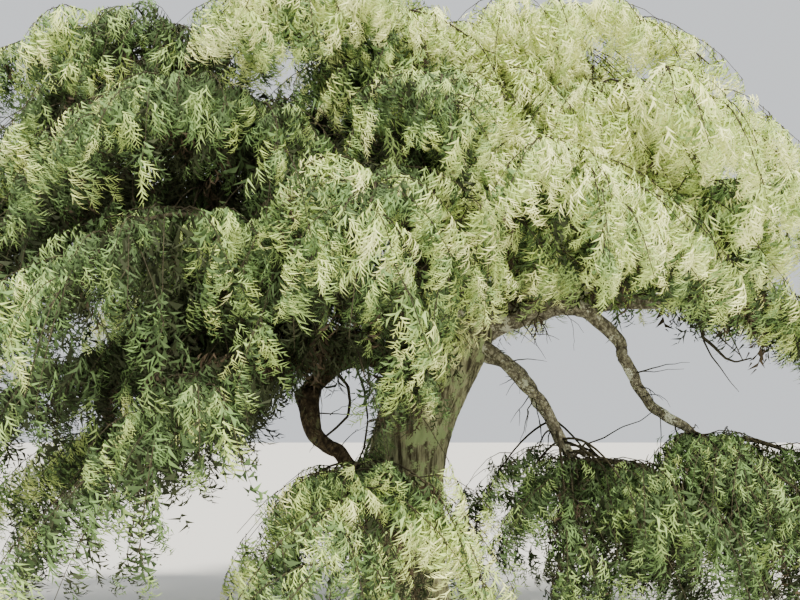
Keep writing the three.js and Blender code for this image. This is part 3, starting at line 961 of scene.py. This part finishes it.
# Leaves out some sprays in patches, where others grow behind them, and some of those deep in the crown.
def thinOut(rows):
    middle = pointsOf(rows, 0.5)
    outward = outwardOf(middle)
    backing = coverOf(rows, [(1, -outward - patches["backFall"] * up)])
    thin = noiseAt(middle, patches["thinScale"], shift=4.0) < patches["thinBelow"]
    thin &= backing > np.quantile(backing, patches["backing"])
    cover = coverOf(rows, [(0.5, up + light["aboveOut"] * outward), (0.5, outward)])
    deep = ranksOf(cover) > patches["deepFrom"]
    rows[:, sizeColumn] *= np.where(deep, patches["deepSize"], 1)
    left = deep & (np.random.default_rng(seeds["thinning"]).random(len(rows)) < patches["deepShare"])
    return rows[~(thin | left)]


# How much light reaches each spray from above and from outside, from 0 to 1.
def exposureOf(rows):
    outward = outwardOf(pointsOf(rows, 0.5))
    above = light["above"]
    rays = [(above, up + light["aboveOut"] * outward), (1 - above, outward + light["outUp"] * up)]
    cover = coverOf(rows, rays)
    inMass = np.zeros(len(rows))
    for index in range(len(masses)):
        mine = rows[:, massColumn] == index
        inMass[mine] = ranksOf(-cover[mine])
    return mix(ranksOf(-cover), inMass, light["own"])


# How far a spray stands out from its neighbours, upwards and outwards, from -1 to 1.
def standOut(rows):
    middle = pointsOf(rows, 0.5)
    low, counts = boxesOf(light["near"])
    at = tuple(((middle - low) / light["near"]).astype(int).T)
    sums = np.zeros((*counts, 4))
    np.add.at(sums, at, np.column_stack([middle, np.ones(len(rows))]))
    for axis in range(3):
        sums = sums + np.roll(sums, 1, axis) + np.roll(sums, -1, axis)
    near = sums[at]
    away = middle - near[:, :3] / near[:, 3:]
    way = unit(light["lift"] * up + outwardOf(middle))
    return np.clip((away * way).sum(1) / light["near"], -1, 1)


# Materials.


def makeGroup(name, inputs, outputs):
    tree = bpy.data.node_groups.new(name, "ShaderNodeTree")
    for label, kind, value in inputs:
        made = tree.interface.new_socket(label, in_out="INPUT", socket_type="NodeSocket" + kind)
        if value is not None:
            made.default_value = value
    for label, kind in outputs:
        tree.interface.new_socket(label, in_out="OUTPUT", socket_type="NodeSocket" + kind)
    return tree, tree.nodes.new("NodeGroupInput").outputs, tree.nodes.new("NodeGroupOutput").inputs


def setInput(tree, socket, value):
    if isinstance(value, bpy.types.NodeSocket):
        tree.links.new(value, socket)
    else:
        socket.default_value = value


# A node with its settings and inputs; n0, n1 and so on are inputs by number.
def addNode(tree, kind, settings=(), **values):
    node = tree.nodes.new(kind)
    for label, value in dict(settings).items():
        setattr(node, label, value)
    for label, value in values.items():
        setInput(tree, node.inputs[int(label[1:]) if label[1:].isdigit() else label], value)
    return node


def mathNode(tree, operation, first, second=0.0):
    return addNode(tree, "ShaderNodeMath", {"operation": operation}, n0=first, n1=second).outputs[0]


def mixColors(tree, factor, first, second, blend="MIX"):
    settings = {"data_type": "RGBA", "blend_type": blend}
    return addNode(tree, "ShaderNodeMix", settings, n0=factor, n6=first, n7=second).outputs[2]


def ramp(tree, value, low, high):
    settings = {"interpolation_type": "SMOOTHSTEP"}
    return addNode(tree, "ShaderNodeMapRange", settings, n0=value, n1=low, n2=high).outputs[0]


# First times factor plus level.
def scaledNode(tree, first, factor, level):
    return mathNode(tree, "ADD", mathNode(tree, "MULTIPLY", first, factor), level)


def noiseNode(tree, place, values):
    return addNode(tree, "ShaderNodeTexNoise", Vector=place, **values).outputs[0]


barkGrain = {
    "furrows": {"Scale": 1.0, "Detail": 5.0, "Roughness": 0.62, "Distortion": 0.5},
    "blotches": {"Scale": 6.5, "Detail": 4.0, "Roughness": 0.6},
    "specks": {"Scale": 55.0, "Detail": 3.0, "Roughness": 0.7},
    "plates": 0.9,  # their scale
    "cracks": (0.0, 0.16),
    "ridges": (0.36, 0.66),
    "shade": (0.8, 0.62),
    "spots": 0.45,
    "lichen": 1.06,
    "lichenEdge": (0.0, 0.07),
    "speckHeight": 0.3,
    "rough": (-0.12, 0.97),
    "bump": 0.7,
}


def barkGroup():
    inputs = [
        ("Place", "Vector", None),
        ("Grain", "Vector", (30, 30, 8)),
        ("Ridge Color", "Color", None),
        ("Furrow Color", "Color", None),
        ("Lichen Color", "Color", None),
        ("Lichen", "Float", 0.3),
        ("Cracks", "Float", 0.5),
    ]
    outputs = [("Color", "Color"), ("Height", "Float"), ("Roughness", "Float")]
    tree, given, out = makeGroup("barkGrain", inputs, outputs)
    place, multiply, toEdge = given["Place"], {"operation": "MULTIPLY"}, {"feature": "DISTANCE_TO_EDGE"}
    stretched = addNode(tree, "ShaderNodeVectorMath", multiply, n0=place, n1=given["Grain"]).outputs[0]
    furrows = noiseNode(tree, stretched, barkGrain["furrows"])
    plates = addNode(tree, "ShaderNodeTexVoronoi", toEdge, Vector=stretched, Scale=barkGrain["plates"])
    cracks = mathNode(tree, "SUBTRACT", ramp(tree, plates.outputs[0], *barkGrain["cracks"]), 1.0)
    cracked = scaledNode(tree, cracks, given["Cracks"], 1.0)
    ridges = mathNode(tree, "MULTIPLY", ramp(tree, furrows, *barkGrain["ridges"]), cracked)
    blotches = noiseNode(tree, place, barkGrain["blotches"])
    specks = noiseNode(tree, place, barkGrain["specks"])
    shaded = scaledNode(tree, blotches, *barkGrain["shade"])
    grey = addNode(tree, "ShaderNodeCombineColor", n0=shaded, n1=shaded, n2=shaded).outputs[0]
    color = mixColors(tree, ridges, given["Furrow Color"], given["Ridge Color"])
    color = mixColors(tree, 1.0, color, grey, "MULTIPLY")
    spots = scaledNode(tree, specks, barkGrain["spots"], blotches)
    level = mathNode(tree, "MULTIPLY", given["Lichen"], 0.5)
    level = mathNode(tree, "SUBTRACT", barkGrain["lichen"], level)
    mask = ramp(tree, mathNode(tree, "SUBTRACT", spots, level), *barkGrain["lichenEdge"])
    tree.links.new(mixColors(tree, mask, color, given["Lichen Color"]), out["Color"])
    tree.links.new(scaledNode(tree, specks, barkGrain["speckHeight"], ridges), out["Height"])
    tree.links.new(scaledNode(tree, ridges, *barkGrain["rough"]), out["Roughness"])
    return tree


needleGrain = {"spots": {"Detail": 2.0}, "light": 2.0, "warm": 2.6, "rough": 0.72}


def tintGroup():
    inputs = [("Place", "Vector", None), ("Color", "Color", None)]
    inputs += [("Change", "Float", 0.3), ("Scale", "Float", 9.0)]
    tree, given, out = makeGroup("needleTint", inputs, [("Color", "Color"), ("Roughness", "Float")])
    spots = noiseNode(tree, given["Place"], {"Scale": given["Scale"], **needleGrain["spots"]})
    swing = mathNode(tree, "MULTIPLY", mathNode(tree, "SUBTRACT", spots, 0.5), given["Change"])
    level, warm = (scaledNode(tree, swing, needleGrain[label], 1.0) for label in ("light", "warm"))
    grey = addNode(tree, "ShaderNodeCombineColor", n0=warm, n1=level, n2=level).outputs[0]
    tree.links.new(mixColors(tree, 1.0, given["Color"], grey, "MULTIPLY"), out["Color"])
    tree.links.new(mathNode(tree, "SUBTRACT", needleGrain["rough"], swing), out["Roughness"])
    return tree


# A material whose colour and roughness come from a group with these inputs.
def makeMaterial(name, group, values, specular):
    material = bpy.data.materials.new(name)
    material.use_nodes = True
    tree = material.node_tree
    shader = tree.nodes["Principled BSDF"]
    node = addNode(tree, "ShaderNodeGroup", {"node_tree": group})
    setInput(tree, node.inputs["Place"], tree.nodes.new("ShaderNodeTexCoord").outputs["Object"])
    for label, value in values.items():
        setInput(tree, node.inputs[label], value)
    tree.links.new(node.outputs["Color"], shader.inputs["Base Color"])
    tree.links.new(node.outputs["Roughness"], shader.inputs["Roughness"])
    shader.inputs["Specular IOR Level"].default_value = specular
    return material, node, shader


shine = {"bark": 0.25, "needles": 0.18}
# The limb bark comes as two copies of one bark, a lighter sunlit one and a darker shady one: painted light
# and painted shade.
barkLooks = named("grain ridge furrow lichen share cracks relief", {
    "trunkBark": ((30, 30, 2.6), (176, 175, 134), (60, 54, 40), (152, 168, 114), 0.62, 0.25, 0.007),
    "limbBark": ((30, 30, 24), (170, 166, 138), (76, 70, 56), (208, 210, 182), 0.54, 0.7, 0.004),
    "shadyBark": ((30, 30, 20), (98, 86, 62), (40, 32, 23), (104, 106, 74), 0.4, 0.6, 0.005),
    "twigBark": ((40, 40, 40), (72, 68, 48), (46, 41, 30), (108, 112, 80), 0.2, 0.3, 0.001),
})


def barkMaterial(name, group):
    look = barkLooks[name]
    values = {"Grain": look["grain"], "Lichen": look["share"], "Cracks": look["cracks"]}
    for label in ("ridge", "furrow", "lichen"):
        values[label.title() + " Color"] = colorOf(look[label])
    material, node, shader = makeMaterial(name, group, values, shine["bark"])
    tree, height = material.node_tree, node.outputs["Height"]
    strength = barkGrain["bump"]
    bump = addNode(tree, "ShaderNodeBump", Height=height, Distance=look["relief"], Strength=strength)
    tree.links.new(bump.outputs[0], shader.inputs["Normal"])
    return material


# Needle colours, from the bright tips to the shade inside: partly the lighter new growth and darker old
# needles, mostly painted sunlight and painted shade, dealt out below by how much light reaches each spray;
# and the dead brown twigs under the domes, which are their own colour.
tones = {
    "bright": (242, 247, 172),
    "sunlit": (220, 232, 147),
    "pale": (189, 208, 121),
    "light": (149, 173, 103),
    "mid": (103, 129, 76),
    "deep": (69, 87, 52),
    "shade": (46, 52, 31),
    "brown": (72, 62, 47),
}
barkTree, tintTree = barkGroup(), tintGroup()
trunkBark, limbBark, shadyBark, twigBark = (barkMaterial(name, barkTree) for name in barkLooks)
leafLooks = {}
for tone, screen in tones.items():
    values = {"Color": colorOf(screen)}
    leafLooks[tone] = makeMaterial(tone + "Needles", tintTree, values, shine["needles"])[0]
print("materials")

trunkPiece = makeTrunk(trunkBark)
# Limbs on the shady side of the crown, and the crooks, get the darker shady copy of the limb bark, which is
# painted shade; the rest get the lighter sunlit copy, which is painted light.
shadyTurns = (110, 290)
shadyLimbs = [
    name
    for name, spec in limbs.items()
    if name.startswith("crook") or shadyTurns[0] < spec["end"][0] < shadyTurns[1]
]
litLimbs = [name for name in limbs if name not in shadyLimbs]
limbPiece = makeLimbs("limb_bark", litLimbs, limbBark)
shadyPiece = makeLimbs("shady_limb_bark", shadyLimbs, shadyBark)
for piece in (trunkPiece, limbPiece, shadyPiece):
    print(piece.name, len(piece.data.polygons))

# Shapes of one spray, each of length 1. Pairs are for its root and tip, or for the least and the most.
shoot = {
    "inner": 4,
    "outer": 5,
    "span": (0.1, 0.9),
    "spanStray": 0.015,
    "angle": (52, 30),
    "angleStray": 12,
    "sag": 26,
    "sagStray": 10,
    "length": (0.5, 0.3),
    "lengthChange": (0.75, 1.15),
    "firstLength": 0.75,  # of the first two, over the others
    "tilt": 0.34,
    "tiltRise": 0.4,
    "bend": 0.4,  # how far a shoot falls by its tip, over its length
    "rib": 0.014,  # half width of a shoot at its root
    "ribEnd": 0.8,  # share of the shoot where its rib ends
    "fingerLength": (0.2, 0.12),
    "fingerChange": (0.8, 1.2),
    "fingerBase": 0.5,  # half the width of a side shoot's root, over the room it has
    "endWidth": 0.016,  # half the width of the last one
    "fingerAngle": 40,
    "fingerAngleStray": 9,
    "fingerSag": 22,
    "fingerSagStray": 12,
    "axisSag": 0.46,
    "stalk": 0.011,  # radius of the stalk at its root
    "stalkSpan": (-0.03, 0.6),
    "variants": 8,
}

# Short side shoots of each shoot, left and right by turns: at the tips and at the heart of a spray.
fingersOf = {
    "bright": (7, 5),
    "sunlit": (7, 5),
    "pale": (7, 5),
    "light": (6, 4),
    "mid": (5, 3),
    "deep": (4, 3),
    "shade": (4, 2),
    "brown": (3, 2),
}


def axisPoint(y):
    return np.array([0.0, y, -shoot["axisSag"] * y * y])


# One shoot that bends down from its root along way: fingers of needles to its left and right by turns,
# joined foot to foot, and one at its end.
def addShoot(made, root, way, normal, length, fingers, chance):
    side = np.cross(way, normal)
    first = made["count"]

    def pointAt(share):
        return root + (way * share - normal * shoot["bend"] * share * share) * length

    points = [root - side * shoot["rib"], root + side * shoot["rib"], pointAt(shoot["ribEnd"])]
    made["faces"].append((first, first + 1, first + 2))
    for i in range(fingers):
        along = (i + 0.5) / fingers
        at = pointAt(along)
        heading = unit(way - normal * 2 * shoot["bend"] * along)
        sag = math.tan(math.radians(shoot["fingerSag"] + chance.normal(0, shoot["fingerSagStray"])))
        reach = mix(*shoot["fingerLength"], along) * chance.uniform(*shoot["fingerChange"])
        angle = math.radians(shoot["fingerAngle"] + chance.normal(0, shoot["fingerAngleStray"]))
        angle *= 1 if i % 2 else -1
        base = heading * shoot["fingerBase"] * length / fingers
        if i == fingers - 1:
            angle, base = 0, side * shoot["endWidth"]
        tip = at + (heading * math.cos(angle) + side * math.sin(angle) - normal * sag) * reach
        face = (first + 3 * i + 3, first + 3 * i + 4, first + 3 * i + 5)
        points += [at - base, at + base, tip]
        made["faces"].append(face[::-1] if angle > 0 else face)
    made["points"].append(np.array(points))
    made["count"] += len(points)


def sprayShape(part, variant, fingers):
    chance = np.random.default_rng(variant * seeds["variant"] + seeds["firstVariant"])
    total = shoot["inner"] + shoot["outer"]
    made = newShape()
    for i in range(total):
        along = i / (total - 1)
        y = mix(*shoot["span"], along) + chance.normal(0, shoot["spanStray"])
        angle = math.radians(mix(*shoot["angle"], along) + chance.normal(0, shoot["angleStray"]))
        sag = math.radians(shoot["sag"] + chance.normal(0, shoot["sagStray"]))
        length = mix(*shoot["length"], along) * chance.uniform(*shoot["lengthChange"])
        length *= shoot["firstLength"] if i < 2 else 1
        tilt = chance.normal(0, shoot["tilt"])
        if (i < shoot["inner"]) != (part == "inner"):
            continue
        tangent = unit(np.array([0, 1, -2 * shoot["axisSag"] * y]))
        normal = unit(np.array([0, 2 * shoot["axisSag"] * y, 1]))
        side = np.array([1.0 if i % 2 else -1.0, 0, 0])
        way = tangent if i == total - 1 else tangent * math.cos(angle) + side * math.sin(angle)
        way = unit(way + normal * (shoot["tiltRise"] * tilt - math.tan(sag)))
        normal = normal + side * tilt
        normal = unit(normal - way * (normal @ way))
        addShoot(made, axisPoint(y), way, normal, length, fingers, chance)
    return made


# A three-sided stalk from the branchlet to the outer shoots.
def stalkShape():
    ends = np.stack([axisPoint(share) for share in shoot["stalkSpan"]])
    foot = ringsAlong(ends, np.full(2, shoot["stalk"]), 3)[0][0]
    return {"points": [foot, ends[1:]], "faces": [(0, 2, 1), (0, 1, 3), (1, 2, 3), (2, 0, 3)]}


def shapeCollection(name, shapes):
    collection = bpy.data.collections.new(name)
    for number, made in enumerate(shapes):
        mesh = bpy.data.meshes.new(f"{name}{number}")
        mesh.from_pydata(np.concatenate(made["points"]).tolist(), [], made["faces"])
        collection.objects.link(bpy.data.objects.new(f"{name}{number}", mesh))
    return collection


pointValues = (("turn", "QUATERNION"), ("size", "FLOAT"), ("pick", "INT"))


# Puts one of the shapes on each point, turned and sized by the point's own values.
def scatterTree():
    tree = bpy.data.node_groups.new("sprayScatter", "GeometryNodeTree")
    for label, kind in (("Points", "Geometry"), ("Shapes", "Collection"), ("Finish", "Material")):
        tree.interface.new_socket(label, in_out="INPUT", socket_type="NodeSocket" + kind)
    tree.interface.new_socket("Sprays", in_out="OUTPUT", socket_type="NodeSocketGeometry")
    given = tree.nodes.new("NodeGroupInput").outputs
    picked = {"Collection": given["Shapes"], "Separate Children": True}
    shapes = addNode(tree, "GeometryNodeCollectionInfo", {"transform_space": "ORIGINAL"}, **picked)
    turn, size, pick = (
        addNode(tree, "GeometryNodeInputNamedAttribute", {"data_type": kind}, Name=label).outputs[0]
        for label, kind in pointValues
    )
    placing = {"Points": given["Points"], "Instance": shapes.outputs[0], "Rotation": turn, "Scale": size}
    placing.update({"Pick Instance": True, "Instance Index": pick})
    placed = addNode(tree, "GeometryNodeInstanceOnPoints", **placing)
    whole = addNode(tree, "GeometryNodeRealizeInstances", Geometry=placed.outputs[0]).outputs[0]
    finished = addNode(tree, "GeometryNodeSetMaterial", Geometry=whole, Material=given["Finish"])
    tree.links.new(finished.outputs[0], tree.nodes.new("NodeGroupOutput").inputs[0])
    return tree


def turnsOf(rows):
    forward, normal = rows[:, forwardColumns], rows[:, normalColumns]
    columns = np.stack([np.cross(forward, normal), forward, normal], 2)
    return np.array([Matrix(m).to_quaternion() for m in columns.tolist()])


def scatter(name, rows, turns, picks, collection, material):
    mesh = bpy.data.meshes.new(name)
    mesh.from_pydata(rows[:, rootColumns].tolist(), [], [])
    for (label, kind), values in zip(pointValues, (turns, rows[:, sizeColumn], picks)):
        layer = mesh.attributes.new(label, kind, "POINT")
        layer.data.foreach_set("value", np.ascontiguousarray(values).ravel())
    source = addObject(name + "Points", mesh)
    modifier = source.modifiers.new("scatter", "NODES")
    modifier.node_group = sprayTree
    inputs = {"Shapes": collection, "Finish": material}
    for item in sprayTree.interface.items_tree:
        if item.name in inputs:
            modifier[item.identifier] = inputs[item.name]
    grown = bpy.data.meshes.new_from_object(source.evaluated_get(bpy.context.evaluated_depsgraph_get()))
    for label, kind in pointValues:
        if label in grown.attributes:
            grown.attributes.remove(grown.attributes[label])
    grown.name = name
    bpy.data.objects.remove(source)
    return addObject(name, grown)


rows = planBranchlets()
branchlets = fitBranchlets(rows)
planned = placeSprays(branchlets)
kept = keepSprays(planned)
total = len(branchlets[0])
wanted, left = (np.bincount(branchletsOf(found), minlength=total) for found in (planned, kept))
leafy = (left > branchlet["leafy"] * wanted) | (branchlets[0] == stemKind)
sprays = thinOut(kept[leafy[branchletsOf(kept)]])
print("branchlets", leafy.sum(), "of", len(rows), "sprays", len(sprays))

# Painted light and shade of each mass: how much lighter, above 0, or darker its sprays are painted, as the
# light falls on it.
massPaintedLight = {
    "right_limb": -0.5,
    "side_right_bough": -0.31,
    "upper_right_bough": 0.12,
    "upper_front_right_bough": 0.08,
    "front_right_limb": -0.2,
    "top_right_bough": 0.5,
    "top_front_bough": 0.13,
    "upper_front_bough": -0.58,
    "upper_back_right_bough": -0.1,
    "back_right_limb": -0.3,
    "leader": -0.08,
    "front_limb": -0.03,
    "trunk_tuft": 0.3,
    "crook_foot": -0.14,
    "upper_left_bough": -0.42,
    "upper_front_left_bough": -0.4,
    "left_limb": -0.49,
    "front_left_limb": -0.13,
    "low_left_limb": -0.67,
    "low_front_left_limb": -0.48,
    "low_right_limb": -0.78,
    "arch_fall": -0.68,
    "low_back_right_limb": -0.5,
}

# Masses in whose tone the light counts for less, and by how much.
evenly = {"front_left_limb": 0.8, "left_limb": 0.5, "upper_front_left_bough": 0.3}

# Masses of one quiet tone: the score that they draw to, and how strongly.
quiet = {"low_right_limb": (0.3, 0.55), "arch_fall": (0.3, 0.55), "low_back_right_limb": (0.28, 0.6)}

# Rules of the needle tones, which paint light and shade on the sprays, with some change at random.
toneRule = {
    "from": (1.33, 1.07, 0.85, 0.62, 0.39, 0.18),  # least score of each tone, from the bright to the deep
    "sunSpan": (-0.05, 0.6),  # metres from the trunk's foot: the right side of the crown is the sunny one, and is painted lighter
    "sun": 0.7,
    "hang": 0.3,  # painted shade: how much darker the fringe of a mass is painted than its crest
    "hangSpan": (-0.2, 1),
    "hangLevel": 0.4,
    "branchlet": (0.16, 0.17),  # change from one branchlet to the next on the sunny and the shady side
    "tip": 0.32,  # how much lighter a branchlet's tip is than its root
    "tuft": 0.1,
    "standOut": 0.62,  # painted highlight: how much lighter a spray is painted that stands out from its neighbours
    "spray": 0.09,
    "brownBelow": 0.24,  # least light that keeps a spray green
    "brown": 0.25,  # share of those below it that is brown
    "hearts": 4,  # so many tones, from the bright on, have hearts two tones darker, and the rest one: darker old needles and painted shade inside the spray
    "stalks": 5,  # so many have a stalk that shows
}


# Deals each spray a needle tone that is mostly painted light and shade: from the light that reaches it, the
# sunny side, how far it stands out and how far it hangs below its crest, with changes at random by patch,
# branchlet and spray; and picks the dead brown sprays.
def dealTones(rows):
    chance = np.random.default_rng(seeds["tones"])
    mine, middle, exposure = massesOf(rows), pointsOf(rows, 0.5), exposureOf(rows)
    columns = [
        (evenly.get(mass["name"], 0.0), massPaintedLight.get(mass["name"], 0.0), mass["start"][2], mass["length"])
        for mass in masses
    ]
    evenness, lighter, crest, length = np.array(columns)[mine].T
    sunFrom, sunTo = toneRule["sunSpan"]
    sun = np.clip((middle[:, 0] - sunFrom) / (sunTo - sunFrom), 0, 1)
    score = mix(exposure, 0.5, evenness) + lighter
    score += toneRule["sun"] * sun + toneRule["standOut"] * standOut(rows)
    hung = np.clip((crest - middle[:, 2]) / length, *toneRule["hangSpan"])
    score -= toneRule["hang"] * (hung - toneRule["hangLevel"])
    score += patches["tone"] * noiseAt(middle, patches["toneScale"], shift=8.0)
    score += toneRule["tip"] * (rows[:, alongColumn] - 0.5) + toneRule["tuft"] * rows[:, waveColumn]
    change = mix(toneRule["branchlet"][1], toneRule["branchlet"][0], sun)
    score += change * chance.normal(0, 1, total)[branchletsOf(rows)]
    score += chance.normal(0, toneRule["spray"], len(rows))
    for index, mass in enumerate(masses):
        level, pull = quiet.get(mass["name"], (0, 0))
        score[mine == index] = mix(score[mine == index], level, pull)
    tone = sum((score < edge).astype(int) for edge in toneRule["from"])
    brown = (exposure < toneRule["brownBelow"]) & (chance.random(len(rows)) < toneRule["brown"])
    return tone, brown


sprayTree = scatterTree()
shapes = {"stalk": shapeCollection("stalk", [stalkShape()])}


# All variants of the inner or the outer shoots, made once for each number of fingers.
def shapesOf(part, fingers):
    label = f"{part}Shoots{fingers}"
    if label not in shapes:
        made = [sprayShape(part, k, fingers) for k in range(shoot["variants"])]
        shapes[label] = shapeCollection(label, made)
    return shapes[label]


tone, brown = dealTones(sprays)
turns = turnsOf(sprays)
picks = np.random.default_rng(seeds["picks"]).integers(0, shoot["variants"], len(sprays)).astype(np.int32)
pieces = []
# The inner shoots of each spray take a darker tone: older needles, and painted shade inside the spray.
heartTone = np.minimum(tone + (tone < toneRule["hearts"]) + 1, len(toneRule["from"]))
kinds = (("tips", "outer", tone), ("hearts", "inner", heartTone))
for number, name in enumerate(tones):
    for (label, part, wanted), fingers in zip(kinds, fingersOf[name]):
        mask = brown if name == "brown" else (wanted == number) & ~brown
        if mask.any():
            chosen = (sprays[mask], turns[mask], picks[mask])
            pieces.append(scatter(f"{name}_{label}", *chosen, shapesOf(part, fingers), leafLooks[name]))
            print(pieces[-1].name, len(pieces[-1].data.polygons))
mask = (tone < toneRule["stalks"]) & ~brown
stalks = scatter("spray_stalks", sprays[mask], turns[mask], 0 * picks[mask], shapes["stalk"], twigBark)
print("stalks", len(stalks.data.polygons))

# Stems, branchlets and dead twigs.

# Numbers of short dead twigs on a bare and on a leafy limb, and their shape.
snag = {
    "bare": 6,
    "leafy": 3,
    "span": (0.15, 0.95),
    "step": 0.02,
    "lean": (0, 0.8),
    "length": (0.14, 0.5),
    "radius": (0.0035, 0.0075),
    "tipRadius": 0.0012,
    "sides": 5,
    "rings": 9,
    "kink": 0.16,
    "fall": 0.22,
    "forkShare": 0.6,
    "forkRings": (3, 6),
    "forkLean": 0.9,
    "forkLength": 0.5,
    "forkRadius": 0.6,
}

# Dead twigs that show against the sky: how far in front of the trunk, root and tip radius in metres, and
# the points that they pass in the photograph's pixels.
deadTwigs = {
    "crookInner": (
        0.38, (0.012, 0.008), ((336, 372), (348, 386), (350, 402), (348, 416), (336, 428), (321, 440))
    ),
    "crookUpright": (0.36, (0.009, 0.006), ((354, 362), (364, 388), (368, 420), (364, 448), (356, 466))),
    "lowFork": (
        0.31, (0.011, 0.005), ((570, 462), (578, 452), (585, 443), (594, 452), (603, 460), (614, 470))
    ),
    "lowForkSide": (0.31, (0.006, 0.003), ((586, 444), (604, 438), (622, 427), (640, 421), (652, 412))),
    "lowForkDrop": (0.31, (0.005, 0.003), ((612, 466), (611, 480), (612, 494))),
    "archDrop": (0.3, (0.004, 0.002), ((660, 414), (661, 436), (660, 458), (662, 478))),
    "endZigzag": (
        0.1,
        (0.016, 0.006),
        ((694, 316), (701, 326), (703, 338), (716, 348), (726, 358), (736, 362), (752, 358)),
    ),
    "endStraight": (0.1, (0.008, 0.003), ((705, 326), (718, 334), (730, 345), (742, 356))),
    "endLow": (0.1, (0.007, 0.002), ((703, 340), (711, 356), (721, 368), (730, 382), (738, 392))),
}
deadShape = {"rings": 4, "sides": 6, "sway": 0.05, "swayScale": 6.0}


def addDeadTwigs(made):
    for ahead, (root, tip), way in deadTwigs.values():
        corners = np.array([placeOf(px, py, ahead) for px, py in way])
        share = np.linspace(0, len(corners) - 1, deadShape["rings"] * len(corners))
        points = np.stack([np.interp(share, np.arange(len(corners)), axis) for axis in corners.T], 1)
        points[:, 1] += deadShape["sway"] * noiseAt(points, deadShape["swayScale"], shift=3.0)
        addRod(made, points, mix(root, tip, share / share[-1]), deadShape["sides"])


def addSnag(made, chance, start, way, length, radius, depth):
    rings = snag["rings"]
    share = np.linspace(0, 1, rings)
    kinks = np.cumsum(chance.normal(0, snag["kink"], (rings, 3)), 0) * length / rings
    fall = up * (snag["fall"] * length * share**2)[:, None]
    points = start + way * length * share[:, None] + kinks - fall
    addRod(made, points, mix(radius, snag["tipRadius"], share), snag["sides"])
    if depth and chance.random() < snag["forkShare"]:
        at = points[chance.integers(*snag["forkRings"])]
        side = unit(way + unit(chance.normal(0, 1, 3)) * snag["forkLean"])
        addSnag(made, chance, at, side, length * snag["forkLength"], radius * snag["forkRadius"], depth - 1)


def addSnags(made):
    chance = np.random.default_rng(seeds["twigs"])
    for name in limbs:
        for i in range(snag["bare" if name in bark["bareLimbs"] else "leafy"]):
            share = chance.uniform(*snag["span"])
            ahead, behind = paths[name](min(1, share + snag["step"])), paths[name](share - snag["step"])
            way = unit(ahead - behind)
            side = unit(np.cross(way, unit(chance.normal(0, 1, 3))))
            way = unit(side + way * chance.uniform(*snag["lean"]))
            length, radius = chance.uniform(*snag["length"]), chance.uniform(*snag["radius"])
            addSnag(made, chance, paths[name](share), way, length, radius, 1)


def makeTwigs(branchlets, leafy, material):
    made = newShape()
    share = np.linspace(0, 1, stem["rings"])
    radius = mix(stem["radius"], stem["tipRadius"], share ** stem["taperPower"])
    for mass in masses:
        points = stemAt(mass, share)
        sag = noiseAt(points, stem["swayScale"], shift=2.0)
        sway = np.stack([sag, np.roll(sag, stem["swayLag"]), stem["swayRise"] * sag], 1) * stem["sway"]
        addRod(made, points + sway * np.sin(np.pi * share)[:, None], radius, stem["sides"])
    share = np.linspace(0, sideStem["drawn"], sideStem["rings"])
    radius = mix(sideStem["radius"], sideStem["tipRadius"], share)
    for course in sideStems:
        addRod(made, hang(*course, share), radius, sideStem["sides"])
    share = np.linspace(0, branchlet["drawn"], branchlet["rings"])
    radius = mix(branchlet["radius"], branchlet["tipRadius"], share)
    least, gain = branchlet["byLength"]
    for wanted, kind, mine, *course in zip(leafy, *branchlets):
        if wanted and kind != stemKind:
            addRod(made, hang(*course, share), radius * (least + gain * course[3]), branchlet["sides"])
    addSnags(made)
    addDeadTwigs(made)
    return meshPiece("twigs", made, material)


twigPiece = makeTwigs(branchlets, leafy, twigBark)
print("twigs", len(twigPiece.data.polygons))

for collection in shapes.values():
    for shape in list(collection.objects):
        bpy.data.objects.remove(shape)
    bpy.data.collections.remove(collection)

dressed = [(trunkPiece, "bark", ["trunk"])]
dressed += [(limbPiece, "bark", litLimbs), (shadyPiece, "bark", shadyLimbs)]
dressed += [(piece, "foliage", foliageNodes) for piece in [*pieces, stalks, twigPiece]]
for piece, slot, nodes in dressed:
    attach(piece, "root")
    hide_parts(*nodes)

print("cad box", [round(v, 3) for v in (*cadLow, *cadHigh)])
